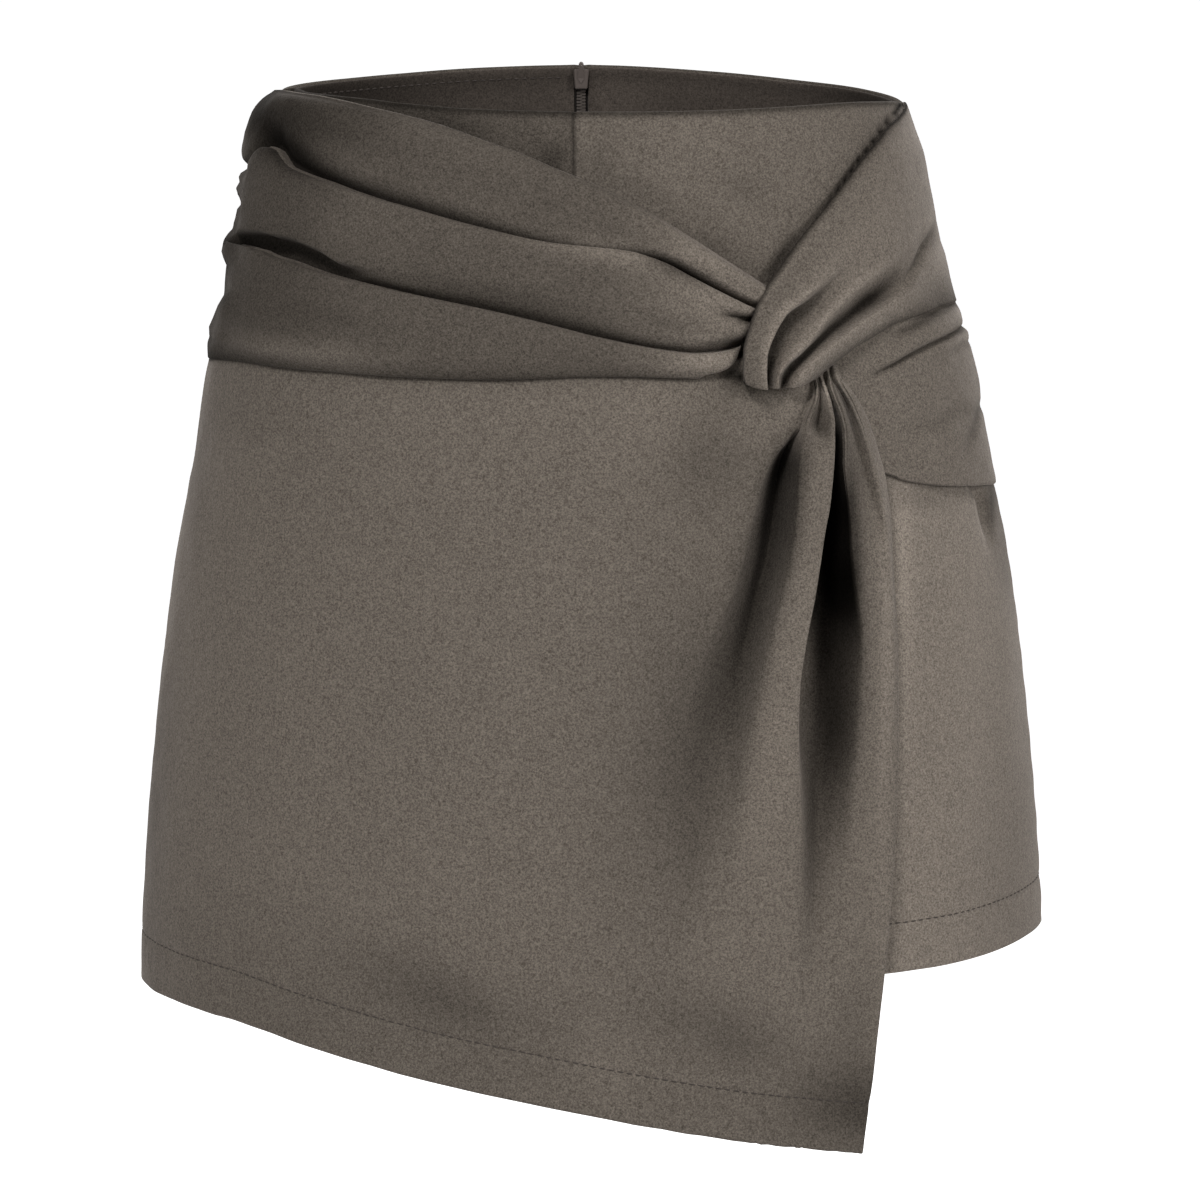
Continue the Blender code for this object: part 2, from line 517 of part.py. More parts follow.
def plate(name, outline, x_low, x_high, material):
    """A side outline of (y, z) points, in millimetres, pushed out along X."""
    bm = bmesh.new()
    ends = [[bm.verts.new((x * 0.001, y * 0.001, z * 0.001)) for y, z in outline] for x in (x_low, x_high)]
    count = len(outline)
    bm.faces.new(ends[0])
    bm.faces.new(ends[1][::-1])
    for k in range(count):
        bm.faces.new((ends[0][k], ends[1][k], ends[1][(k + 1) % count], ends[0][(k + 1) % count]))
    if bm.calc_volume(signed=True) < 0:
        bmesh.ops.reverse_faces(bm, faces=bm.faces)
    mesh = bpy.data.meshes.new(name)
    bm.to_mesh(mesh)
    bm.free()
    return add(name, mesh, material, smooth=False)


def make_zip(insides, cloth_zip, coil_material, metal):
    coil_gap = SEAM_GAP + TAPE_WALL + SEAM_GAP
    for hand, word in ((-1, "left"), (1, "right")):
        zip_strip(f"zip_tape_{word}", insides[hand], hand, 0.25, TAPE_WIDTH, SEAM_GAP, TAPE_WALL, -1.0, -ZIP_LENGTH, cloth_zip)
        zip_strip(f"zip_coil_{word}", insides[hand], hand, 0.15, COIL_WIDTH, coil_gap, COIL_WALL, -8.6, -ZIP_LENGTH + 3, coil_material)
    coil_front = -(WALL + coil_gap)
    # The slider's body lies inside, and its bridge passes over the waist edge to an eye outside.
    x, top = CB_SEAM_X, float(waist_z(1, 0.0))
    face = back_y(0.0) + coil_front - 0.1
    body = block("zip_slider", (x - SLIDER_WIDTH / 2, face - SLIDER_DEPTH, top - SLIDER_HEIGHT - 1.0), (x + SLIDER_WIDTH / 2, face, top - 1.0), metal, 0.5)
    eye_y, eye_z = back_y(-2.0) + 0.5 + EYE_OUTER, -1.2
    over = top + 0.45
    bridge = plate(
        "bridge",
        [
            (face - 1.8, top - 3.0),
            (face - 0.6, top - 3.0),
            (face - 0.6, over - 0.2),
            (face + 0.2, over),
            (eye_y - 1.1, over),
            (eye_y - 0.3, over - 0.5),
            (eye_y - 0.3, eye_z + 1.3),
            (eye_y + 0.9, eye_z + 1.2),
            (eye_y + 0.9, over + 0.2),
            (eye_y, over + 1.2),
            (face + 0.2, over + 1.2),
            (face - 1.8, over + 0.2),
        ],
        x - BRIDGE_WIDTH / 2,
        x + BRIDGE_WIDTH / 2,
        metal,
    )
    steps = 12
    ring = [(eye_y + EYE_OUTER * math.sin(a), eye_z + EYE_OUTER * math.cos(a)) for a in np.linspace(0.35, 2 * math.pi - 0.35, steps)]
    hole = [(eye_y + EYE_INNER * math.sin(a), eye_z + EYE_INNER * math.cos(a)) for a in np.linspace(2 * math.pi - 0.35, 0.35, steps)]
    lug = plate("eye", ring + hole, x - BRIDGE_WIDTH / 2 + 0.05, x + BRIDGE_WIDTH / 2 - 0.05, metal)
    join_solids(body, bridge, lug)
    # The pull tab: a pin through the eye, two arms and a rounded tab, drawn hanging straight, then leaned off the cloth.
    arm_in, arm_out = BRIDGE_WIDTH / 2 + 0.35, PULL_WIDTH / 2 - 0.3
    tab_top = -4.2
    tab = bmesh.new()
    shape = [(-arm_out, tab_top), (arm_out, tab_top), (PULL_WIDTH / 2, tab_top - 8.0)]
    for k in range(9):
        a = math.pi * k / 8
        shape.append((PULL_WIDTH / 2 * math.cos(a), -(PULL_LENGTH - PULL_WIDTH / 2) - PULL_WIDTH / 2 * math.sin(a)))
    shape.append((-PULL_WIDTH / 2, tab_top - 8.0))
    faces = [[tab.verts.new((px * 0.001, py * 0.001, pz * 0.001)) for px, pz in shape] for py in (-PULL_WALL / 2, PULL_WALL / 2)]
    tab.faces.new(faces[0])
    tab.faces.new(faces[1][::-1])
    for k in range(len(shape)):
        tab.faces.new((faces[0][k], faces[1][k], faces[1][(k + 1) % len(shape)], faces[0][(k + 1) % len(shape)]))
    if tab.calc_volume(signed=True) < 0:
        bmesh.ops.reverse_faces(tab, faces=tab.faces)
    mesh = bpy.data.meshes.new("zip_pull")
    tab.to_mesh(mesh)
    tab.free()
    pull = add("zip_pull", mesh, metal, smooth=False)
    helpers = []
    for hand, word in ((-1, "left"), (1, "right")):
        low, high = sorted((hand * arm_in, hand * arm_out))
        helpers.append(block(f"pull_arm_{word}", (low, -PULL_WALL / 2 + 0.03, tab_top - 0.6), (high, PULL_WALL / 2 - 0.03, PIN_RADIUS), metal))
    pin_mesh = bpy.data.meshes.new("pull_pin")
    pin = bmesh.new()
    bmesh.ops.create_cone(pin, cap_ends=True, segments=10, radius1=PIN_RADIUS * 0.001, radius2=PIN_RADIUS * 0.001, depth=2 * (arm_out - 0.1) * 0.001)
    pin.transform(Matrix.Rotation(math.pi / 2, 4, "Y"))
    pin.to_mesh(pin_mesh)
    pin.free()
    helpers.append(add("pull_pin", pin_mesh, metal, smooth=False))
    pose = Matrix.Translation(Vector((x, eye_y, eye_z)) * 0.001) @ Matrix.Rotation(math.radians(PULL_LEAN), 4, "X")
    for obj in (pull, *helpers):
        obj.matrix_world = pose
    join_solids(pull, *helpers)
    return (x, eye_y, eye_z)


# ---------------------------------------------------------------- the garment
for obj in list(bpy.data.objects):
    bpy.data.objects.remove(obj, do_unlink=True)
parts = bpy.data.collections.new("skort")
cutters = bpy.data.collections.new("skort_cutters")
bpy.context.scene.collection.children.link(parts)
bpy.context.scene.collection.children.link(cutters)
bpy.context.scene.unit_settings.system = "METRIC"
cutters.hide_render = True

cloth = principled("brushed_suede_cloth", CLOTH_COLOUR, 0.9, 0.0)
cloth_zip = principled("zip_tape_cloth", ZIP_COLOUR, 0.85, 0.0)
coil_plastic = principled("zip_coil_plastic", ZIP_COLOUR, 0.5, 0.0)
lacquered_metal = principled("zip_slider_metal", METAL_COLOUR, 0.45, 0.6)

make_shorts("shorts_front_left", -1, -1, LEFT_INSET, cloth)
make_shorts("shorts_front_right", 1, -1, 0.0, cloth)
insides = {}
for hand, word in ((-1, "left"), (1, "right")):
    _, _, insides[hand] = make_shorts(f"shorts_back_{word}", hand, 1, 0.0, cloth)
    make_facing(f"facing_back_{word}", insides[hand], hand, cloth)
make_front("overlay_panel", overlay_points(), cloth, seam_cols=(0,))
make_front("wrap_band", band_points(), cloth, seam_cols=(0,))
make_front("sash_lower", sash_lower_points().transpose(1, 0, 2), cloth, seam_cols=(0,))
make_front("sash_upper", sash_upper_points().transpose(1, 0, 2), cloth, seam_cols=(0,))
make_zip(insides, cloth_zip, coil_plastic, lacquered_metal)
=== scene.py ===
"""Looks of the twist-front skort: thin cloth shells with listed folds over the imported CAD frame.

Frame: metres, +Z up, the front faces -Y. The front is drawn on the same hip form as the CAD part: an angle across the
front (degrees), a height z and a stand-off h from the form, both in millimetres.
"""

import math

import bpy
import numpy as np
from mathutils import Matrix, Vector


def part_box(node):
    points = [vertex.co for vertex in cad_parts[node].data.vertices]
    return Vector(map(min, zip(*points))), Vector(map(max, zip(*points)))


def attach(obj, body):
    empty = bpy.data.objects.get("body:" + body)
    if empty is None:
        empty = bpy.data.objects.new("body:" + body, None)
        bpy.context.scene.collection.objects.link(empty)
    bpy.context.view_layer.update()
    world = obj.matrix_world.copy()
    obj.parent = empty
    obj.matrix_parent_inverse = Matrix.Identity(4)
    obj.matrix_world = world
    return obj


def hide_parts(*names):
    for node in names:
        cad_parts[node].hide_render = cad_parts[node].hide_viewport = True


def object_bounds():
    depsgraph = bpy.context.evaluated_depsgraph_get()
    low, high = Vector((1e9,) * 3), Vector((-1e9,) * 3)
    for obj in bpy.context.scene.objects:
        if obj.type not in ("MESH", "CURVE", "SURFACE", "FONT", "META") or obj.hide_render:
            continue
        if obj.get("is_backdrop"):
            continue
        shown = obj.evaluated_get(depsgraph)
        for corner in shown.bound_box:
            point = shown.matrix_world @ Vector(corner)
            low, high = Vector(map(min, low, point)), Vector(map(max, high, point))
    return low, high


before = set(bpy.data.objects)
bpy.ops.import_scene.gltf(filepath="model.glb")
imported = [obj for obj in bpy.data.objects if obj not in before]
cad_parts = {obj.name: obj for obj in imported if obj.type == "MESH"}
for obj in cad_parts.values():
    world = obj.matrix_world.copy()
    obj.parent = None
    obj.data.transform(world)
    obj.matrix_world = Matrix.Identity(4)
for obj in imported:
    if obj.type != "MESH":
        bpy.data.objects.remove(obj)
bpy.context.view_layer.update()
BODY, PULL_BODY = "garment", "pull_tab"

# ---------------------------------------------------------------- sizes, millimetres (as in the CAD part)
WALL = 1.4
FACING_WALL = 0.9
SEAM_GAP = 0.3
LEFT_INSET = 1.9
UNDER_OVERLAY = 5.0
CROTCH_Z = -265.0
CROTCH_START_Z = -170.0
LEG_HEM_Z = -352.0
HEM_DIP = 2.0
HEM_RISE = 3.4
LEG_GAP_AT_HEM = 8.0
LEG_DEPTH_FRONT = 98.0
LEG_DEPTH_BACK = 113.0
LEG_POWER = 1.3
CF_SEAM_X = -6.8
CB_SEAM_X = -4.2
FACING_DEPTH = 30.0
HEM_TURN = 20.0

FORM = (
    # z,      half_w, front,  back, power
    (20.0, 127.0, 90.5, 90.5, 1.00),
    (0.0, 128.2, 92.0, 92.0, 1.00),
    (-10.0, 131.0, 93.5, 93.5, 1.00),
    (-25.0, 136.3, 95.5, 96.0, 1.00),
    (-50.0, 141.5, 99.0, 101.0, 1.00),
    (-75.0, 147.0, 103.0, 107.0, 1.01),
    (-100.0, 153.6, 107.0, 113.0, 1.02),
    (-125.0, 159.5, 110.0, 118.0, 1.03),
    (-150.0, 164.6, 113.0, 120.0, 1.04),
    (-175.0, 169.6, 115.5, 121.0, 1.05),
    (-200.0, 173.9, 118.0, 121.5, 1.05),
    (-225.0, 177.3, 120.0, 121.0, 1.05),
    (-250.0, 180.4, 122.0, 120.0, 1.05),
    (-275.0, 183.1, 124.3, 118.5, 1.05),
    (-300.0, 185.3, 126.5, 117.0, 1.05),
    (-325.0, 187.1, 128.5, 115.5, 1.05),
    (-350.0, 188.5, 130.0, 114.0, 1.05),
    (-380.0, 189.5, 132.0, 113.5, 1.05),
    (-440.0, 191.0, 136.0, 113.0, 1.05),
)
WAIST_FRONT = ((-90.0, -0.5), (-50.0, 1.4), (-20.0, -0.4), (20.0, -0.9), (50.0, -0.5), (75.0, -2.9), (90.0, -5.8))
WAIST_BACK = ((-90.0, -0.5), (-55.0, -0.7), (-40.0, -0.2), (-20.0, 1.1), (0.0, 1.7), (25.0, -0.4), (45.0, -2.7), (60.0, -3.7), (68.0, -4.4), (90.0, -5.8))

# Wrap band. Its lines across the front, and the heights of its three rolls.
BAND_LINES = (
    # deg,   top, fold1, fold2, bottom
    (-89.9, -0.4, -31.0, -61.5, -110.0),
    (-86.0, 0.3, -30.8, -61.8, -109.8),
    (-82.0, 0.9, -30.4, -61.7, -109.4),
    (-78.0, 1.3, -29.2, -61.6, -108.8),
    (-74.5, 1.6, -26.0, -61.5, -108.2),
    (-72.0, 1.7, -22.4, -61.4, -107.8),
    (-69.5, 1.8, -20.2, -61.3, -107.5),
    (-66.5, 1.9, -20.6, -61.5, -107.2),
    (-64.0, 1.9, -22.8, -61.6, -107.0),
    (-60.0, 1.9, -26.6, -62.9, -106.7),
    (-54.0, 1.3, -29.0, -64.3, -106.6),
    (-48.0, 0.2, -31.2, -66.8, -106.6),
    (-42.0, -1.4, -34.2, -69.0, -106.4),
    (-36.0, -3.2, -37.2, -71.1, -106.4),
    (-30.0, -5.5, -40.0, -73.5, -106.5),
    (-24.0, -8.8, -43.3, -75.9, -106.5),
    (-18.0, -13.0, -46.5, -78.4, -106.5),
    (-12.0, -17.3, -49.5, -81.4, -106.0),
    (-6.0, -23.0, -52.0, -84.9, -105.3),
    (0.0, -28.6, -53.5, -88.9, -104.7),
    (6.0, -35.7, -55.2, -92.4, -104.7),
    (12.0, -43.8, -60.6, -95.2, -105.3),
    (16.0, -50.1, -66.2, -96.3, -105.8),
    (20.0, -56.7, -71.8, -95.5, -106.6),
    (24.0, -63.4, -77.2, -93.3, -107.0),
    (28.0, -69.9, -82.0, -92.0, -107.0),
    (33.0, -77.5, -87.5, -91.5, -107.0),
)
BAND_ROLLS = (
    # edge: just below the line above it; crown; low: where it dives under the next roll; pocket: how far above the
    # next line it begins to dive (mm); lip: 1 is a sharp lip over the pocket and 0 a soft slope
    # deg,   edge1, crown1, low1, pocket1, edge2, crown2, low2, pocket2, lip2, edge3, crown3, low3
    (-89.9, 2.4, 7.0, 3.4, 6.0, 5.0, 6.8, 3.0, 6.0, 0.6, 4.6, 6.0, 3.2),
    (-84.0, 2.4, 8.0, 2.8, 8.0, 6.4, 7.8, 2.6, 3.0, 0.5, 5.4, 6.8, 3.2),
    (-78.0, 2.6, 8.8, 2.2, 11.0, 8.4, 9.0, 2.0, 5.5, 0.7, 6.4, 7.4, 3.2),
    (-72.0, 2.8, 9.4, 1.2, 14.0, 9.8, 10.2, 1.6, 7.5, 0.85, 7.4, 8.0, 3.2),
    (-66.0, 2.8, 9.8, 0.6, 15.0, 10.4, 10.8, 1.2, 9.0, 0.95, 8.2, 8.6, 3.2),
    (-60.0, 2.8, 9.8, 0.6, 14.0, 10.4, 10.8, 1.0, 10.0, 0.95, 8.8, 9.2, 3.3),
    (-54.0, 2.8, 9.6, 1.0, 12.5, 10.0, 10.6, 1.6, 11.0, 0.85, 9.0, 9.4, 3.4),
    (-48.0, 2.8, 9.2, 1.4, 11.5, 9.6, 10.4, 1.8, 10.5, 0.85, 9.0, 9.4, 3.5),
    (-42.0, 2.7, 8.8, 1.8, 10.5, 9.2, 10.2, 2.2, 7.5, 0.70, 8.8, 9.2, 3.6),
    (-36.0, 2.6, 8.4, 2.1, 10.0, 8.8, 10.0, 2.6, 8.0, 0.1, 8.6, 9.0, 3.8),
    (-30.0, 2.6, 8.0, 2.4, 9.5, 8.4, 9.8, 2.7, 9.0, 0.0, 8.4, 8.8, 3.9),
    (-24.0, 2.6, 7.6, 2.8, 9.0, 8.0, 9.6, 2.6, 10.5, 0.0, 8.2, 8.6, 4.0),
    (-18.0, 2.6, 7.4, 3.3, 8.0, 7.6, 9.4, 2.4, 12.0, 0.0, 8.1, 8.6, 4.1),
    (-12.0, 2.6, 7.2, 4.0, 7.0, 7.2, 9.2, 2.2, 13.0, 0.0, 8.0, 8.6, 4.2),
    (-6.0, 2.6, 7.2, 4.9, 6.0, 7.0, 9.2, 2.3, 13.0, 0.0, 8.0, 8.4, 4.4),
    (0.0, 2.8, 7.4, 6.0, 5.0, 7.0, 9.4, 2.6, 12.0, 0.0, 8.0, 8.4, 4.6),
    (6.0, 3.0, 7.8, 6.0, 4.0, 7.6, 9.6, 3.4, 9.0, 0.0, 8.0, 8.4, 4.8),
    (12.0, 3.2, 8.4, 3.4, 5.0, 8.4, 10.0, 3.4, 9.0, 0.0, 8.0, 8.4, 5.0),
    (16.0, 3.4, 8.8, 2.2, 5.0, 9.0, 10.2, 3.2, 7.0, 0.1, 8.2, 8.6, 5.2),
    (20.0, 3.6, 9.2, 2.0, 5.0, 9.4, 10.4, 2.8, 5.0, 0.2, 8.4, 8.8, 5.2),
    (24.0, 3.8, 9.4, 2.0, 4.5, 9.4, 10.4, 2.4, 5.0, 0.2, 8.6, 9.0, 5.2),
    (33.0, 4.0, 9.4, 2.0, 4.5, 9.4, 10.4, 2.4, 5.0, 0.2, 8.6, 9.0, 5.2),
)
# Outline of the gathered band at the left side seam: height, stand-off.
BAND_SIDE = (
    (1.0, 1.6), (-0.6, 3.6), (-2.4, 6.2), (-4.5, 8.0), (-7.4, 9.4), (-11.1, 10.0), (-15.3, 10.0), (-19.4, 9.2), (-23.6, 8.5),
    (-27.5, 7.2), (-31.5, 3.6), (-34.0, 6.6), (-36.5, 7.6), (-39.4, 7.7), (-42.4, 6.6), (-45.8, 3.4), (-48.2, 5.2),
    (-51.0, 6.4), (-54.4, 5.7), (-59.4, 7.0), (-62.6, 8.0), (-66.5, 8.0), (-70.0, 7.0), (-73.6, 4.5), (-79.0, 4.7),
    (-82.5, 4.2), (-85.2, 3.0), (-87.2, 4.6), (-90.0, 5.8), (-94.0, 5.9), (-100.0, 5.5), (-106.0, 4.4), (-110.5, 3.2),
)
# The band's end beside the sash: height, angle.
BAND_END = ((-60.0, 29.5), (-68.0, 28.4), (-73.0, 27.4), (-77.0, 26.4), (-79.5, 25.6), (-82.5, 25.4), (-85.5, 24.9), (-90.0, 23.9), (-94.0, 22.9), (-98.0, 22.2), (-101.0, 21.2), (-103.5, 19.6), (-105.5, 17.4), (-112.0, 15.0))

# Upper sash: stations from the right side seam to the knot's rim; at each, (deg, z, h) on its rolled edge, the roll's
# crown, a flat, ridge 1, crease 1, a flat, ridge 2, the long crease, ridge 3, a slope, and its lower edge.
SASH_GUIDES = (
    ((89.9, -2.8, 2.0), (89.9, -11.1, 2.4), (89.9, -23.3, 2.6), (89.9, -32.0, 2.6), (89.9, -36.3, 2.4), (89.9, -40.4, 2.4), (89.9, -45.6, 2.4), (89.9, -59.9, 0.8), (89.9, -69.0, 2.6), (89.9, -77.5, 3.2), (89.9, -86.9, 2.6)),
    ((67.9, -9.7, 3.0), (71.0, -21.5, 4.4), (71.3, -33.9, 4.6), (71.5, -43.3, 4.4), (71.3, -47.4, 4.2), (71.0, -50.6, 4.2), (69.9, -54.1, 4.4), (70.1, -63.7, 2.2), (68.5, -70.2, 4.8), (71.4, -78.2, 4.6), (72.4, -85.5, 3.2)),
    ((61.1, -14.8, 3.6), (62.1, -27.4, 5.4), (63.0, -38.5, 5.6), (63.5, -46.0, 5.4), (63.5, -50.1, 5.2), (63.3, -53.7, 5.2), (62.8, -57.2, 5.4), (63.6, -68.6, 2.6), (62.4, -73.8, 5.6), (63.9, -80.3, 5.2), (65.1, -86.4, 3.4)),
    ((55.0, -20.0, 4.0), (55.4, -32.0, 6.2), (56.4, -42.6, 6.4), (56.6, -49.2, 6.4), (56.9, -53.3, 6.2), (57.0, -57.0, 6.2), (57.2, -61.0, 6.2), (58.4, -73.2, 3.0), (57.3, -77.3, 6.4), (58.0, -82.3, 5.8), (59.2, -87.6, 3.6)),
    ((49.6, -26.6, 4.2), (50.1, -37.6, 7.0), (50.8, -47.0, 7.4), (51.1, -53.1, 7.4), (51.7, -57.2, 7.2), (52.0, -60.9, 7.2), (52.3, -65.4, 7.2), (53.6, -76.4, 3.6), (52.7, -80.4, 7.2), (53.2, -85.0, 6.4), (54.5, -89.1, 3.8)),
    ((44.2, -35.5, 4.4), (44.9, -44.8, 7.8), (45.4, -52.9, 8.4), (45.9, -58.2, 8.4), (46.8, -62.1, 8.0), (47.4, -65.4, 7.9), (47.9, -69.4, 8.2), (49.4, -79.6, 4.2), (48.6, -83.2, 8.4), (49.2, -87.4, 7.2), (50.5, -91.2, 4.2)),
    ((39.6, -43.8, 4.8), (40.2, -51.7, 8.8), (40.8, -58.6, 9.6), (41.4, -63.5, 9.8), (42.3, -66.9, 8.8), (43.2, -69.9, 8.5), (43.8, -73.5, 9.4), (45.6, -82.6, 4.8), (45.0, -86.1, 9.6), (45.6, -90.4, 8.2), (47.1, -93.8, 4.6)),
    ((35.2, -52.0, 5.6), (35.7, -58.6, 10.2), (36.7, -63.9, 11.2), (37.5, -68.7, 11.6), (38.6, -71.9, 9.6), (39.7, -75.3, 9.0), (40.1, -78.4, 11.0), (42.2, -86.0, 5.6), (41.8, -89.1, 10.8), (42.6, -93.0, 9.2), (44.1, -96.0, 5.0)),
    ((31.2, -61.5, 6.6), (31.7, -66.0, 11.6), (32.7, -70.0, 12.8), (33.4, -74.4, 13.4), (34.8, -77.3, 10.2), (36.0, -80.7, 9.6), (36.7, -83.7, 12.8), (38.9, -89.3, 6.8), (38.7, -92.5, 12.0), (39.6, -96.0, 10.2), (41.2, -99.1, 5.6)),
    ((27.4, -71.2, 7.8), (27.8, -73.8, 13.0), (28.7, -76.2, 14.0), (29.7, -79.7, 15.0), (31.1, -82.3, 10.8), (32.6, -85.7, 10.2), (33.6, -90.3, 14.0), (35.6, -93.5, 8.2), (35.7, -96.3, 13.0), (36.7, -99.4, 11.2), (38.5, -102.3, 6.2)),
    ((24.6, -82.3, 9.2), (24.8, -83.3, 14.2), (25.7, -85.3, 15.0), (26.8, -88.4, 16.4), (28.2, -89.8, 11.2), (29.7, -92.0, 10.8), (30.8, -95.8, 15.0), (32.6, -98.2, 9.4), (33.1, -100.2, 13.8), (34.4, -103.0, 12.0), (36.1, -105.4, 7.0)),
    ((22.6, -94.7, 10.2), (23.1, -95.0, 14.6), (24.1, -95.8, 15.2), (25.2, -97.3, 16.8), (26.7, -98.4, 11.0), (27.7, -98.9, 11.0), (28.4, -100.2, 15.2), (30.1, -103.0, 9.8), (31.0, -104.7, 13.8), (32.2, -107.1, 12.4), (34.0, -108.2, 8.0)),
    ((22.2, -103.4, 9.8), (22.6, -103.8, 13.4), (23.7, -104.6, 14.0), (25.0, -105.0, 15.4), (26.2, -105.6, 9.8), (26.8, -105.7, 9.8), (27.2, -105.8, 13.6), (29.0, -107.3, 9.2), (30.0, -108.3, 12.6), (31.3, -109.4, 11.6), (32.7, -109.2, 8.2)),
    ((22.6, -108.4, 8.6), (23.2, -109.3, 11.0), (24.2, -110.2, 11.4), (25.3, -110.5, 12.4), (26.2, -110.6, 8.4), (26.6, -110.6, 8.4), (27.1, -110.5, 11.2), (28.5, -110.9, 8.4), (29.8, -110.5, 10.4), (30.8, -110.3, 10.0), (32.0, -109.9, 7.8)),
    ((23.0, -108.8, 4.6), (23.6, -109.2, 5.2), (24.5, -109.6, 5.4), (25.5, -109.8, 5.4), (26.3, -109.9, 4.8), (26.8, -109.9, 4.8), (27.3, -109.8, 5.2), (28.6, -109.8, 4.8), (29.7, -109.6, 5.2), (30.6, -109.4, 5.2), (31.6, -109.0, 4.8)),
    ((23.2, -106.0, 4.2), (23.8, -106.0, 4.4), (24.6, -106.0, 4.4), (25.6, -106.0, 4.4), (26.4, -106.0, 4.2), (26.9, -106.0, 4.2), (27.4, -106.0, 4.4), (28.6, -106.0, 4.2), (29.6, -106.0, 4.4), (30.4, -106.0, 4.4), (31.2, -106.0, 4.2)),
)

